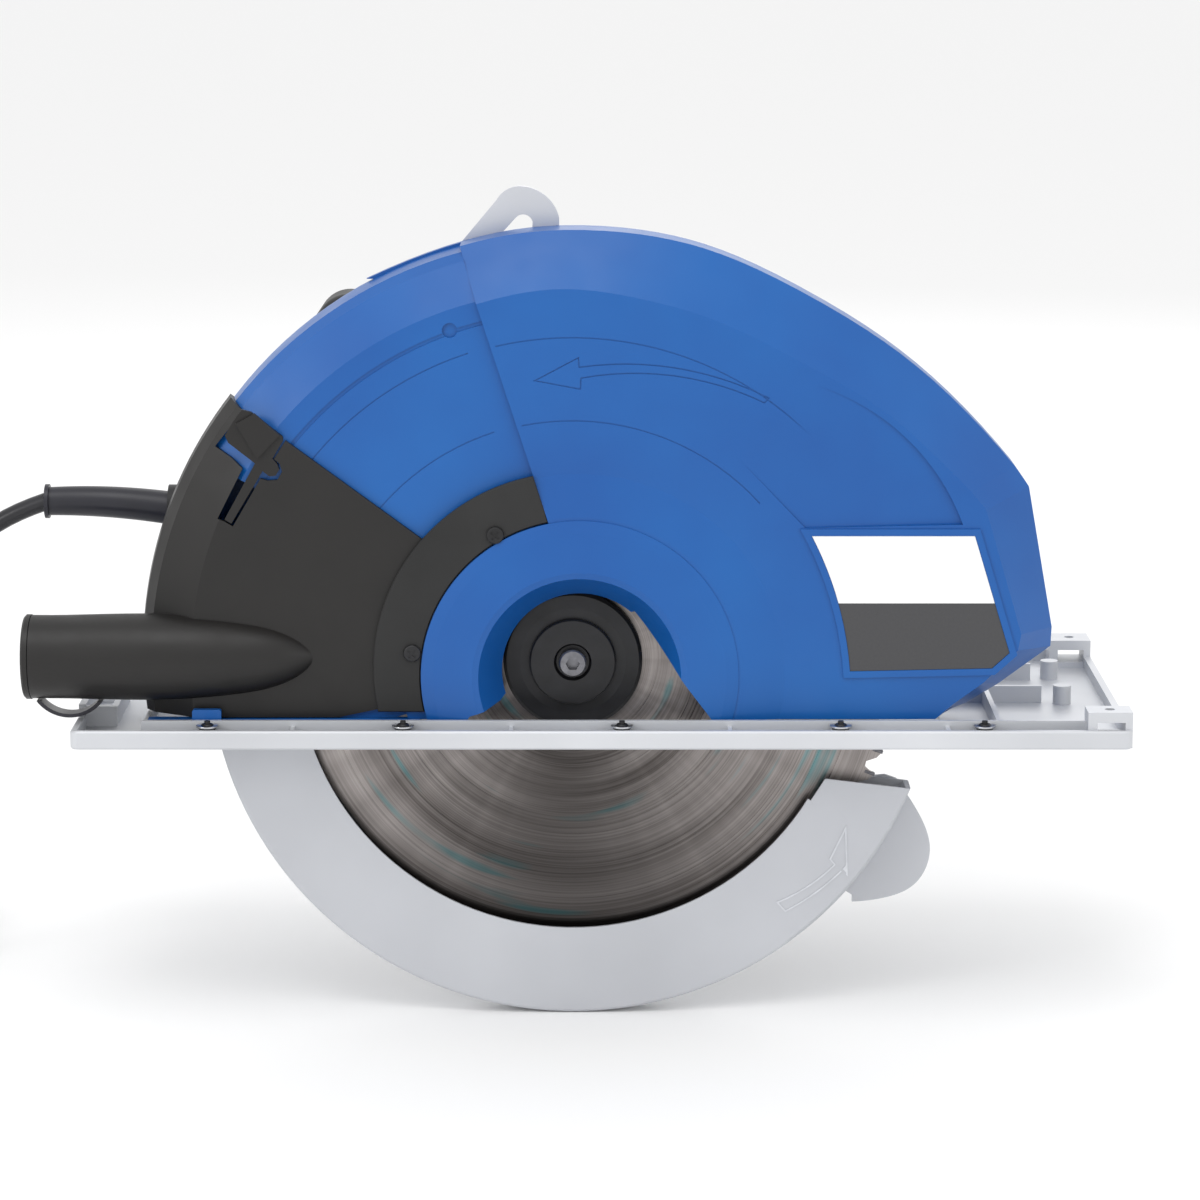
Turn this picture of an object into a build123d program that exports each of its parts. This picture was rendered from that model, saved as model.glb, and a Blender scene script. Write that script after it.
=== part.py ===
# Large hand-held circular saw with a swinging lower guard, in millimetres.
# +X is the cutting direction, +Y runs from the blade side to the motor side, +Z is up.
# The origin is on the sole, below the blade's axis, in the middle of the blade.
from build123d import *
import math
import os

# ---------------------------------------------------------------- driving dimensions
BLADE_R = 160.0            # 320 mm blade
BLADE_T = 2.2
AXLE_Z = 35.0              # height of the blade's axis above the sole
TEETH = 84

SOLE_X = (-241.5, 269.5)   # base plate, along the cut
SOLE_Y = (-50.0, 147.0)    # base plate, across the cut
SOLE_T = 3.0               # floor of the plate
RIM_H = 9.0                # rim round the plate
RIM_T = 3.5
SLOT_X = 181.0             # half length of the blade slot
SLOT_Y = 15.0              # half width of the blade slot

GUARD_R = 178.0            # outside of the lower guard
GUARD_IN = 134.7           # inner edge of its cheeks
GUARD_HALF = 9.5           # half width over the cheeks
SHEET = 1.5                # guard sheet thickness
GUARD_REAR = 160.0         # angle of the guard's rear end, counter-clockwise from +X

COVER_REAR_R = 208.5       # outside of the cover over the chip door's track
CASE_Y = (12.0, 17.0)      # die-cast inner case plate
FRONT_Y = -27.0            # cover's front face
TRACK_Y = -24.0            # face of the chip door's track
DOME = (3.5, 31.5)         # centre of the spindle shroud, X and Z
SHROUD_R = 77.0
DOOR_TRAVEL = 36.0         # degrees

FLANGE_R = 34.0
SPINDLE_R = 10.0
ARBOR_R = 12.7             # 25.4 mm blade bore
LAY_Z = AXLE_Z + 32.5      # layshaft axis
MOTOR_Z = LAY_Z + 21.0     # armature axis
NECK_R = 26.0
GEARBOX_Y = (17.0, 58.0)
PLATE_Y = (58.0, 64.0)     # bearing plate
MOTOR_R = 50.0
MOTOR_Y = (64.0, 200.0)
HANDLE_Y = (42.0, 60.0, 78.0)

OUTLET_Y, OUTLET_Z = -22.0, 40.0
OUTLET_END = -262.0
CORD_R = 4.5
CORD_Y = 60.0
FLOOR_Z = AXLE_Z - GUARD_R
COIL_X, COIL_Y = -400.0, 125.0
COIL_OUT, COIL_IN, COIL_H = 65.5, 38.5, 37.0

os.makedirs("parts", exist_ok=True)


# ---------------------------------------------------------------- helpers
def facing(y):
    """Plane square to the blade's axis at depth y: sketch x is X and sketch y is Z."""
    return Plane.XZ.offset(-y)


def spoke(angle, centre=(0.0, AXLE_Z)):
    """Plane through an axis along Y: sketch x is the radius, sketch y is world Y."""
    c, s = math.cos(math.radians(angle)), math.sin(math.radians(angle))
    return Plane(origin=(centre[0], 0, centre[1]), x_dir=(c, 0, s), z_dir=(-s, 0, c))


def axis_at(centre=(0.0, AXLE_Z)):
    """Axis along -Y, so a positive turn is counter-clockwise for the blade side."""
    return Axis((centre[0], 0, centre[1]), (0, -1, 0))


def polar(radius, angle, centre=(0.0, AXLE_Z)):
    """Point at a radius and an angle in the plane of the blade."""
    a = math.radians(angle)
    return (centre[0] + radius * math.cos(a), centre[1] + radius * math.sin(a))


def save(piece, name):
    """Labels a finished piece and writes its file."""
    piece.part.label = name
    export_step(piece.part, f"parts/{name}.step")


def turned(points, centre=(0.0, AXLE_Z), start=0.0, sweep=360.0, mode=Mode.ADD):
    """Turns a closed (radius, Y) outline about an axis along Y, in the active part."""
    with BuildSketch(spoke(start, centre)) as outline:
        with BuildLine():
            Polyline(*points, close=True)
        make_face()
    revolve(outline.sketch, axis=axis_at(centre), revolution_arc=sweep, mode=mode)


def rod(y_far, y_near, radius, centre=(0.0, AXLE_Z), mode=Mode.ADD):
    """Round bar along Y between two depths, in the active part."""
    with BuildSketch(facing(y_far)) as outline:
        with Locations(centre):
            Circle(radius)
    extrude(outline.sketch, amount=y_far - y_near, mode=mode)


def ring(y_far, y_near, outer, inner, centre=(0.0, AXLE_Z)):
    """Plain ring along Y between two depths, in the active part."""
    with BuildSketch(facing(y_far)) as outline:
        with Locations(centre):
            Circle(outer)
            Circle(inner, mode=Mode.SUBTRACT)
    extrude(outline.sketch, amount=y_far - y_near)


def slab(points, y_far, y_near, radius=0.0, mode=Mode.ADD):
    """Plate with a polygon outline in X and Z between two depths."""
    with BuildSketch(facing(y_far)) as outline:
        with BuildLine():
            Polyline(*points, close=True)
        make_face()
        if radius:
            fillet(outline.vertices(), radius)
    extrude(outline.sketch, amount=y_far - y_near, mode=mode)


def block(x, y, z, mode=Mode.ADD):
    """Box given by its lowest and highest X, Y and Z."""
    with BuildSketch(Plane.XY.offset(z[0])) as outline:
        with Locations(((x[0] + x[1]) / 2, (y[0] + y[1]) / 2)):
            Rectangle(x[1] - x[0], y[1] - y[0])
    extrude(outline.sketch, amount=z[1] - z[0], mode=mode)


def involute(base, radius):
    """Polar angle of an involute at a radius."""
    t = math.sqrt(max((radius / base) ** 2 - 1, 0))
    return t - math.atan(t)


def gear_outline(module, teeth, phase=0.0, addendum=0.75, slack=0.14):
    """Involute spur gear outline; slack is the backlash as a share of tooth thickness."""
    pitch = module * teeth / 2
    base = pitch * math.cos(math.radians(20))
    root, tip = pitch - 1.2 * module, pitch + addendum * module
    half = math.pi / 2 / teeth * (1 - slack) + involute(base, pitch)
    low = max(base, root)
    flank = [low + (tip - low) * k / 3 for k in range(4)]
    points = []
    for k in range(teeth):
        middle = math.radians(phase) + 2 * math.pi * k / teeth
        turn = [(r, -half + involute(base, r)) for r in flank]
        side = ([(root, turn[0][1])] if root < low else []) + turn
        for r, a in side + [(r, -a) for r, a in reversed(side)]:
            points.append((r * math.cos(middle + a), r * math.sin(middle + a)))
    return points


def gear(y_far, y_near, centre, module, teeth, phase=0.0):
    """Spur gear about an axis along Y, in the active part."""
    points = gear_outline(module, teeth, phase)
    slab([(centre[0] + x, centre[1] + z) for x, z in points], y_far, y_near)


# ---------------------------------------------------------------- base plate
BLOCK_X = (248.0, 269.5)   # rip-fence blocks at the front end
FENCE_X = (252.5, 266.0)   # slot for the fence bar
FENCE_Z = (6.0, 12.5)
BLOCK_TOP = 17.5
RIB_TOP = 11.5
SCREW_X = (-175.9, -81.6, 23.9, 129.3, 198.7)
CROSS_RIBS_X = (-135.0, -29.6, 75.9, 181.0)

with BuildPart() as base_plate:
    with BuildSketch(Plane.XY) as sole:
        with Locations(((SOLE_X[0] + SOLE_X[1]) / 2, (SOLE_Y[0] + SOLE_Y[1]) / 2)):
            Rectangle(SOLE_X[1] - SOLE_X[0], SOLE_Y[1] - SOLE_Y[0])
        fillet(sole.vertices(), 4)
        Rectangle(2 * SLOT_X, 2 * SLOT_Y, mode=Mode.SUBTRACT)
    extrude(amount=SOLE_T)
    with BuildSketch(Plane.XY) as rim:
        with Locations(((SOLE_X[0] + SOLE_X[1]) / 2, (SOLE_Y[0] + SOLE_Y[1]) / 2)):
            Rectangle(SOLE_X[1] - SOLE_X[0], SOLE_Y[1] - SOLE_Y[0])
        fillet(rim.vertices(), 4)
        offset(amount=-RIM_T, mode=Mode.SUBTRACT)
    extrude(amount=RIM_H)
    # ribs along the cut, each side of the blade slot, and across to the rim
    block((-208.5, 248), (-37.5, -35), (SOLE_T, RIB_TOP))
    block((-208.5, 235), (42, 44.5), (SOLE_T, RIB_TOP))
    block((-208.5, 235), (96, 98.5), (SOLE_T, RIB_TOP))
    block((-208.5, -206), (-35, 98.5), (SOLE_T, RIM_H))
    block((205, 207.5), (-35, 146), (SOLE_T, RIB_TOP))
    for x in CROSS_RIBS_X:
        block((x - 1, x + 1), (-47, -37), (SOLE_T, RIM_H))
        block((x - 1, x + 1), (98, 144), (SOLE_T, RIM_H))
    for x in (-110, 110, 160):
        block((x - 1.25, x + 1.25), (44, 97), (SOLE_T, RIB_TOP - 2))
    block((-34, 34), (17, 66), (SOLE_T, RIB_TOP + 1), mode=Mode.SUBTRACT)
    # fence blocks with their slot and tapped clamping holes
    for y in ((-46.5, -31), (126, 146)):
        block(BLOCK_X, y, (0, BLOCK_TOP))
    block(FENCE_X, (-46.6, 150), FENCE_Z, mode=Mode.SUBTRACT)
    for y in (-38.5, 136):
        with BuildSketch(Plane.XY.offset(BLOCK_TOP)):
            with Locations(((FENCE_X[0] + FENCE_X[1]) / 2, y)):
                Circle(2.5)
        extrude(amount=-(BLOCK_TOP - FENCE_Z[1]), mode=Mode.SUBTRACT)
    for x, y in ((245, 40), (245, 100)):
        with BuildSketch(Plane.XY.offset(SOLE_T)):
            with Locations((x, y)):
                Circle(4.5)
        extrude(amount=9.5)
    # raised bracket with two gussets at the rear end
    block((-241.5, -238), (-12, 44), (RIM_H, 14))
    block((-226, -223), (-12, 44), (SOLE_T, 12))
    for y in (-12, 41):
        block((-241.5, -223), (y, y + 3), (SOLE_T, 13))
    block((-238, -226), (-6, 38), (0, SOLE_T), mode=Mode.SUBTRACT)
    # pads for the case's foot, tapped for its bolts
    for x in (-130, -60, 60, 130):
        with BuildSketch(Plane.XY):
            with Locations((x, 29)):
                Circle(3)
        extrude(amount=SOLE_T, mode=Mode.SUBTRACT)
    near_edges = base_plate.edges().filter_by(Axis.X).group_by(Axis.Y)[0]
    chamfer(near_edges, 0.8)
save(base_plate, "base_plate")

with BuildPart() as sole_studs:
    for x in SCREW_X:
        with BuildSketch(Plane(origin=(x, -42, SOLE_T), x_dir=(1, 0, 0), z_dir=(0, -1, 0))):
            with BuildLine():
                Polyline((0, 0), (2.2, 0), (2.2, 5.6), (4.2, 5.6), (4.2, 6.6), (2.4, 8.2), (1.4, 8.2),
                         (1.4, 9.6), (0, 9.6), close=True)
            make_face()
        revolve(axis=Axis((x, -42, 0), (0, 0, 1)))
save(sole_studs, "sole_studs")


# ---------------------------------------------------------------- upper guard
STEP_LOW, STEP_HIGH = (-10.7, 104.7), (-54.6, 239.6)   # line where the track begins
COVER_BOTTOM = 10.0
KEYHOLE = ((-56, 4), (-49.7, 12.9), (-35.3, 17.6), (-31, 21.5), (-30.4, 27), (0, 45),
           (30.2, 61.3), (66, 12.9), (72, 4))


def cover_outline(y, scale, front, left=-75.0, bottom=COVER_BOTTOM):
    """Sketch of the upper guard's outline at depth y, scaled about the blade's axis."""
    def at(x, z):
        return (x * scale, AXLE_Z + (z - AXLE_Z) * scale)
    if front:
        crown = [(-90, 196), (-42, 213.4), (-6, 219.5), (32, 215), (61, 207.2), (118, 179.8),
                 (147, 162.5), (176, 137.3), (192, 121.5)]
        side = [(199, 113), (217, 52), (215.5, 44), (199, 28), (184, 17), (176, bottom)]
    else:
        crown = [(-100, 220), (-56, 237.2), (-25, 244), (8, 245.5), (61.8, 237.2), (110.4, 215.8),
                 (159.4, 185), (204, 143.2), (214.5, 131)]
        side = [(221.5, 121), (234, 51.5), (233.5, 42), (208, 23), (192, 13.2), (184, bottom)]
    crown = [at(*p) for p in crown]
    side = [at(*p) for p in side[:-1]] + [(side[-1][0] * scale, bottom)]
    with BuildSketch(facing(y)) as face:
        with BuildLine():
            Spline(*crown)
            Polyline(crown[-1], *side, (left, bottom), (left, crown[0][1]), crown[0])
        make_face()
    return face


def cover_block(scale_back, scale_front, y_front, bottom, left=-120.0):
    """Solid of the upper guard's outline: straight sides, then a sloping shoulder."""
    with BuildPart() as body:
        back = cover_outline(CASE_Y[0], scale_back, False, left, bottom)
        extrude(back.sketch, amount=CASE_Y[0] + 6)
        waist = cover_outline(-6, scale_back, False, left, bottom)
        face = cover_outline(y_front, scale_front, True, left, bottom)
        loft([waist.sketch.face(), face.sketch.face()], ruled=True)
    return body.part


step_dx, step_dz = STEP_HIGH[0] - STEP_LOW[0], STEP_HIGH[1] - STEP_LOW[1]
step_len = math.hypot(step_dx, step_dz)
along = (step_dx / step_len, step_dz / step_len)
step_plane = Plane(origin=(STEP_LOW[0], 0, STEP_LOW[1]), x_dir=(along[0], 0, along[1]),
                   z_dir=(-along[1], 0, along[0]))


def beyond_step(rear_side, reach=420.0):
    """Corners of a large polygon on one side of the step line."""
    side = 1 if rear_side else -1
    low = (STEP_LOW[0] - along[0] * reach, STEP_LOW[1] - along[1] * reach)
    high = (STEP_LOW[0] + along[0] * reach, STEP_LOW[1] + along[1] * reach)
    push = (-along[1] * reach * side, along[0] * reach * side)
    return [low, high, (high[0] + push[0], high[1] + push[1]), (low[0] + push[0], low[1] + push[1])]


TRACK = ((62, TRACK_Y), (184, TRACK_Y), (203, -12.5), (207, -6), (COVER_REAR_R, CASE_Y[0]),
         (206, CASE_Y[0]), (204.5, -5), (201, -10.5), (183, TRACK_Y + 2.5), (62, TRACK_Y + 2.5))
LATCH_R = 174.0            # groove that guides the chip door's latch

LINE_R = (121.0, 161.0)    # fine lines moulded in the cover
RETAINER_SCREWS = ((-37.1, 101.3), (-77.5, 43.4))
FLANK_R = 99.0

with BuildPart() as track_sector:
    turned(TRACK, start=92, sweep=104)
    # rib that carries the door retainer
    with BuildSketch(facing(TRACK_Y)):
        with Locations((0, AXLE_Z)):
            Circle(83.6)
        with Locations(DOME):
            Circle(73, mode=Mode.SUBTRACT)
    extrude(amount=3.0)
    slab(beyond_step(False), 40, -60, mode=Mode.SUBTRACT)
    # groove that guides the latch, and the notch where it clicks in with the door open
    turned(((172.4, TRACK_Y - 1), (174.4, TRACK_Y - 1), (174.4, TRACK_Y + 0.8),
            (172.4, TRACK_Y + 0.8)), start=104, sweep=46, mode=Mode.SUBTRACT)
    rod(TRACK_Y + 1.6, TRACK_Y - 1, 3.6, polar(174.5, 109.6), mode=Mode.SUBTRACT)
    for spot in RETAINER_SCREWS:
        rod(-18, -40, 1.85, spot, mode=Mode.SUBTRACT)
    # chip window below the door
    turned(((104, TRACK_Y - 3), (196, TRACK_Y - 3), (196, 5), (104, 5)), start=150, sweep=34,
           mode=Mode.SUBTRACT)

with BuildPart() as step_web:
    with BuildSketch(step_plane):
        with BuildLine():
            Polyline((-8, FRONT_Y), (112, FRONT_Y), (138, -6), (138, CASE_Y[0]), (133, CASE_Y[0]),
                     (133, -5), (110, -21.5), (-8, -21.5), close=True)
        make_face()
    extrude(amount=-2.5)


def label_outline(grow=0.0):
    """Sketch of the rating label, on the cover's front face."""
    with BuildSketch(facing(FRONT_Y)) as face:
        with BuildLine():
            Polyline((115.3, 100.3), (193.7, 100.3), (211.3, 43), (203, 35.4), (134.4, 34))
            ThreePointArc((134.4, 34), (128.4, 67.4), (115.3, 100.3))
        make_face()
        if grow:
            offset(amount=grow, kind=Kind.INTERSECTION)
    return face.sketch


ARROW_TIP, ARROW_HEAD = (-18.7, 175.5), ((3.3, 187.2), (4.2, 171.2))
SCOOP = ((80.4, 137.3), (111.9, 104.2), (187.9, 105.7))
SCOOP_TOP = (116.0, 173.6)
COVER_SCREWS = (polar(224, 28), polar(206, 57), polar(204.5, 84), polar(201.5, 124), (225.8, 60))

with BuildPart() as arrow_line:
    with BuildSketch(facing(FRONT_Y + 0.5)):
        with BuildLine():
            Polyline((3.6, 182.4), ARROW_HEAD[0], ARROW_TIP, ARROW_HEAD[1], (4.5, 176.6))
            ThreePointArc((4.5, 176.6), (50, 177.5), (92, 164.6))
            Line((92, 164.6), (94.6, 167.3))
            ThreePointArc((94.6, 167.3), (51.5, 181.7), (3.6, 182.4))
        make_face()
        offset(amount=-0.6, mode=Mode.SUBTRACT)
    extrude(amount=2)

scoop_fall = 2.4 / 98.9
with BuildPart() as scoop:
    with BuildSketch(facing(-20)):
        with BuildLine():
            Polyline(SCOOP_TOP, *SCOOP)
            ThreePointArc(SCOOP[2], (162, 146), SCOOP_TOP)
        make_face()
    extrude(amount=10)
    split(bisect_by=Plane(origin=(SCOOP_TOP[0], FRONT_Y, SCOOP_TOP[1]), x_dir=(0.7, 0, 0.714),
                          z_dir=(scoop_fall * 0.714, -1, -scoop_fall * 0.7)), keep=Keep.TOP)

with BuildPart() as front_cover:
    add(cover_block(1.0, 1.0, FRONT_Y, COVER_BOTTOM))
    add(cover_block(0.9885, 0.984, FRONT_Y + 3.2, -10.0, left=-130.0), mode=Mode.SUBTRACT)
    # flank that rises to the spindle shroud, and the fine lines
    turned(((FLANK_R, FRONT_Y + 1), (FLANK_R, FRONT_Y), (78.5, -30.2), (73.2, -30.2),
            (73.2, FRONT_Y + 1)), DOME)
    for radius in LINE_R:
        turned(((radius, FRONT_Y - 1), (radius + 0.6, FRONT_Y - 1), (radius + 0.6, FRONT_Y + 0.4),
                (radius, FRONT_Y + 0.4)), start=42, sweep=70, mode=Mode.SUBTRACT)
    add(scoop.part, mode=Mode.SUBTRACT)
    add(arrow_line.part, mode=Mode.SUBTRACT)
    slab(beyond_step(True), 40, -60, mode=Mode.SUBTRACT)
    add(step_web.part)
    add(track_sector.part)
    for radius in LINE_R:
        turned(((radius, TRACK_Y - 1), (radius + 0.6, TRACK_Y - 1), (radius + 0.6, TRACK_Y + 0.4),
                (radius, TRACK_Y + 0.4)), start=108, sweep=40, mode=Mode.SUBTRACT)
    # label frame and its shallow pocket
    extrude(label_outline(3.4), amount=1.0)
    extrude(label_outline(0.15), amount=2.0, mode=Mode.SUBTRACT)
    # bosses for the screws from the case side
    for spot in COVER_SCREWS:
        rod(CASE_Y[0], -4, 5.0, spot)
        rod(CASE_Y[0], 0, 1.9, spot, mode=Mode.SUBTRACT)
    # spindle opening, keyhole down to the sole, and the open bottom
    rod(10, -60, 73.2, DOME, mode=Mode.SUBTRACT)
    slab(KEYHOLE, 10, -60, mode=Mode.SUBTRACT)
    block((-300, 300), (-60, 40), (-120, COVER_BOTTOM), mode=Mode.SUBTRACT)
    # strip that closes the track at the bottom
    block((-206, -74), (-29.5, TRACK_Y + 1), (COVER_BOTTOM - 1.5, COVER_BOTTOM + 0.4))
save(front_cover, "front_cover")

with BuildPart() as rating_label:
    plate = label_outline()
    extrude(plate, amount=0.6)
save(rating_label, "rating_label")

with BuildPart() as spindle_shroud:
    turned(((76.8, -30.2), (76.8, -30.8), (71, -32.2), (52, -35), (49, -34.2), (38, -13), (40.5, -11.6),
            (51, -31.6), (70, -29.4), (73, -28), (73, -30.2)), DOME)
    slab(KEYHOLE, 10, -60, mode=Mode.SUBTRACT)
    block((-300, 300), (-60, 40), (-120, COVER_BOTTOM), mode=Mode.SUBTRACT)
save(spindle_shroud, "spindle_shroud")

RETAINER_Y = (-27.1, -30.0)
with BuildPart() as door_retainer:
    with BuildSketch(facing(RETAINER_Y[0])):
        with Locations((0, AXLE_Z)):
            Circle(96.5)
        with Locations(DOME):
            Circle(SHROUD_R + 0.2, mode=Mode.SUBTRACT)
        with Locations(*RETAINER_SCREWS):
            Circle(2.0, mode=Mode.SUBTRACT)
        with BuildLine():
            Polyline(*beyond_step(True), close=True)
        make_face(mode=Mode.INTERSECT)
    extrude(amount=RETAINER_Y[0] - RETAINER_Y[1])
    block((-120, 120), (-40, 0), (-120, 14.2), mode=Mode.SUBTRACT)
    chamfer(door_retainer.faces().sort_by(Axis.Y)[0].outer_wire().edges(), 0.5)
save(door_retainer, "door_retainer")

with BuildPart() as retainer_screws:
    for spot in RETAINER_SCREWS:
        rod(-16, -30, 1.8, spot)
        turned(((0, -30), (3.9, -30), (3.9, -30.6), (2.6, -31.6), (0, -31.6)), spot)
save(retainer_screws, "retainer_screws")

CLIP_X = (-184.0, -170.0)
with BuildPart() as door_clip:
    block(CLIP_X, (-33.5, -29.7), (COVER_BOTTOM - 1.5, 16))
    fillet(door_clip.edges().filter_by(Axis.Y), 1.2)
save(door_clip, "door_clip")


# ---------------------------------------------------------------- chip door and outlet
DOOR_IN = ((84, -24.3), (184.2, -24.3), (203.3, -12.8), (207.5, -6.2), (208.6, 1))
DOOR_OUT = ((211.0, 1), (209.9, -7.2), (205.2, -14.8), (185, -26.8), (84, -26.8))
OPENING = ((-158.4, 159.6), (-172.2, 142.3), (-163.6, 137.4), (-158.3, 132.9), (-170.7, 108.6),
           (-167.4, 107.3), (-163.3, 104.9), (-149.6, 128.2), (-146.2, 127.2), (-141.6, 127.6),
           (-139.2, 131.6), (-140.4, 135.6), (-143.0, 137.6), (-137.4, 146.6))
NOSE = ((OUTLET_END, 20.3), (-205, 21.0), (-165, 18.5), (-136, 11.5), (-121, 0))

with BuildPart() as chip_door:
    turned(DOOR_IN + DOOR_OUT, start=136, sweep=56)
    with BuildSketch(facing(10)):
        with BuildLine():
            Polyline((-68.4, 95.6), (-30, 67), (-30, 10.9), (-215, 10.9), (-215, 204.2),
                     (-165.8, 165.5), *OPENING, close=True)
        make_face()
    extrude(amount=50, mode=Mode.INTERSECT)
    # outlet tube with its long blunt nose
    with BuildSketch(Plane.XY.offset(OUTLET_Z)) as nose:
        with BuildLine():
            Spline(*[(x, OUTLET_Y - r) for x, r in NOSE])
            Polyline((NOSE[-1][0], OUTLET_Y), (OUTLET_END, OUTLET_Y),
                     (OUTLET_END, OUTLET_Y - NOSE[0][1]))
        make_face()
    with BuildPart(mode=Mode.PRIVATE) as outlet:
        revolve(nose.sketch, axis=Axis((0, OUTLET_Y, OUTLET_Z), (1, 0, 0)))
        turned(((0, -24.4), (184.3, -24.4), (203.4, -12.9), (207.6, -6.3), (208.9, 1), (209, 30),
                (0, 30)), start=150, sweep=60, mode=Mode.SUBTRACT)
    add(outlet.part)
    # bore, and the inside of the nose
    with BuildSketch(Plane.XY.offset(OUTLET_Z)) as bore:
        with BuildLine():
            Polyline((OUTLET_END - 1, OUTLET_Y), (OUTLET_END - 1, OUTLET_Y - 18.2),
                     (-178, OUTLET_Y - 17.0), (-150, OUTLET_Y - 13), (-136, OUTLET_Y - 7),
                     (-132, OUTLET_Y), close=True)
        make_face()
    revolve(bore.sketch, axis=Axis((0, OUTLET_Y, OUTLET_Z), (1, 0, 0)), mode=Mode.SUBTRACT)
save(chip_door, "chip_door")

LATCH = ((-158.2, 161.6), (-153.6, 160.4), (-138.8, 148.6), (-138.6, 146.6), (-143.8, 137.9),
         (-141.6, 135.4), (-140.6, 132.6), (-142.4, 129.6), (-145.4, 129.3), (-148.6, 131.8),
         (-164.0, 106.3), (-167.3, 108.2), (-152.2, 135.6), (-164.9, 145.6), (-166.4, 149.2),
         (-161.8, 156.8))
with BuildPart() as door_latch:
    slab(LATCH, -24.4, -26.8)
    slab(((-161, 155), (-152, 160), (-140, 149.5), (-151, 138)), -26.8, -28.6)
save(door_latch, "door_latch")

with BuildPart() as outlet_cap:
    with BuildSketch(Plane.XY.offset(OUTLET_Z)) as lid:
        with BuildLine():
            Polyline((OUTLET_END - 3.5, OUTLET_Y), (OUTLET_END - 3.5, OUTLET_Y - 19.6),
                     (OUTLET_END - 2.5, OUTLET_Y - 20.6), (OUTLET_END - 0.3, OUTLET_Y - 20.6),
                     (OUTLET_END - 0.3, OUTLET_Y - 17.6), (OUTLET_END + 11, OUTLET_Y - 17.2),
                     (OUTLET_END + 11, OUTLET_Y - 15.2), (OUTLET_END - 0.3, OUTLET_Y - 15.6),
                     (OUTLET_END - 0.3, OUTLET_Y), close=True)
        make_face()
    revolve(axis=Axis((0, OUTLET_Y, OUTLET_Z), (1, 0, 0)))
save(outlet_cap, "outlet_cap")

with BuildPart() as cap_strap:
    with BuildSketch(facing(OUTLET_Y + 5)):
        with BuildLine():
            ThreePointArc((OUTLET_END + 2, 18.9), (-247, 11.0), (-228, 18.7))
            Line((-228, 18.7), (-230.4, 18.7))
            ThreePointArc((-230.4, 18.7), (-247, 12.8), (OUTLET_END + 4.4, 18.9))
            Line((OUTLET_END + 4.4, 18.9), (OUTLET_END + 2, 18.9))
        make_face()
    extrude(amount=10)
save(cap_strap, "cap_strap")


# ---------------------------------------------------------------- inner case and gearbox
def hull(circles):
    """Sketch outline round circles given as (centre, radius), in the active sketch."""
    for centre, radius in circles:
        with Locations(centre):
            Circle(radius)
    make_hull()


HUBS = (((0.0, AXLE_Z), 30.5), ((0.0, MOTOR_Z), 34.0))
HUBS_IN = (((0.0, AXLE_Z), 26.8), ((0.0, MOTOR_Z), 30.0))
HUB_SCREWS = ((-28.4, 33), (28.4, 33))
BASE_BOLTS_X = (-130.0, -60.0, 60.0, 130.0)
CASE_FEET = ((-150, -38), (38, 150))

with BuildPart() as back_case:
    plate = cover_outline(CASE_Y[1], 1.0, False, left=-60.0)
    extrude(plate.sketch, amount=CASE_Y[1] - CASE_Y[0])
    with BuildSketch(facing(CASE_Y[1])):
        with Locations((0, AXLE_Z)):
            Circle(COVER_REAR_R)
        with BuildLine():
            Polyline((-50, 0), (-50, 260), (-220, 260), (-220, 0), close=True)
        make_face(mode=Mode.INTERSECT)
    extrude(amount=CASE_Y[1] - CASE_Y[0])
    block((-300, 300), (-60, 60), (-200, COVER_BOTTOM), mode=Mode.SUBTRACT)
    rod(CASE_Y[1], CASE_Y[0], NECK_R + 0.2, mode=Mode.SUBTRACT)
    rod(CASE_Y[0] + 3, CASE_Y[0], 52, mode=Mode.SUBTRACT)
    for spot in COVER_SCREWS:
        rod(CASE_Y[1], CASE_Y[0], 2.1, spot, mode=Mode.SUBTRACT)
    # stiffening ribs on the motor side
    for angle in (20, 62, 130, 148, 166):
        near, far = polar(96, angle), polar(186, angle)
        aside = polar(1.5, angle + 90, (0, 0))
        slab([(near[0] - aside[0], near[1] - aside[1]), (far[0] - aside[0], far[1] - aside[1]),
              (far[0] + aside[0], far[1] + aside[1]), (near[0] + aside[0], near[1] + aside[1])],
             CASE_Y[1] + 4, CASE_Y[1])
    rod(CASE_Y[1] + 4, CASE_Y[1], 17, (112, 158))
    # feet bolted to the base plate
    for x in CASE_FEET:
        block(x, (CASE_Y[0] + 3.2, 40), (SOLE_T + 0.02, COVER_BOTTOM))
    for x in BASE_BOLTS_X:
        with BuildSketch(Plane.XY):
            with Locations((x, 29)):
                Circle(3.1)
        extrude(amount=COVER_BOTTOM, mode=Mode.SUBTRACT)
        for edge in (x - 12, x + 12):
            slab(((edge - 1.5, COVER_BOTTOM), (edge + 1.5, COVER_BOTTOM), (edge + 1.5, 30),
                  (edge - 1.5, 30)), 22, CASE_Y[1])
save(back_case, "back_case")

with BuildPart() as base_bolts:
    for x in BASE_BOLTS_X:
        with BuildSketch(Plane.XY.offset(0.4)):
            with Locations((x, 29)):
                Circle(2.95)
        extrude(amount=COVER_BOTTOM - 0.4)
        with BuildSketch(Plane.XY.offset(COVER_BOTTOM)):
            with Locations((x, 29)):
                RegularPolygon(5.6, 6)
        extrude(amount=4)
save(base_bolts, "base_bolts")

with BuildPart() as cover_screws:
    for spot in COVER_SCREWS:
        rod(CASE_Y[1], 1, 1.85, spot)
        turned(((0, CASE_Y[1]), (4, CASE_Y[1]), (4, CASE_Y[1] + 1.6), (2.8, CASE_Y[1] + 2.8),
                (0, CASE_Y[1] + 2.8)), spot)
save(cover_screws, "cover_screws")

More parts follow.
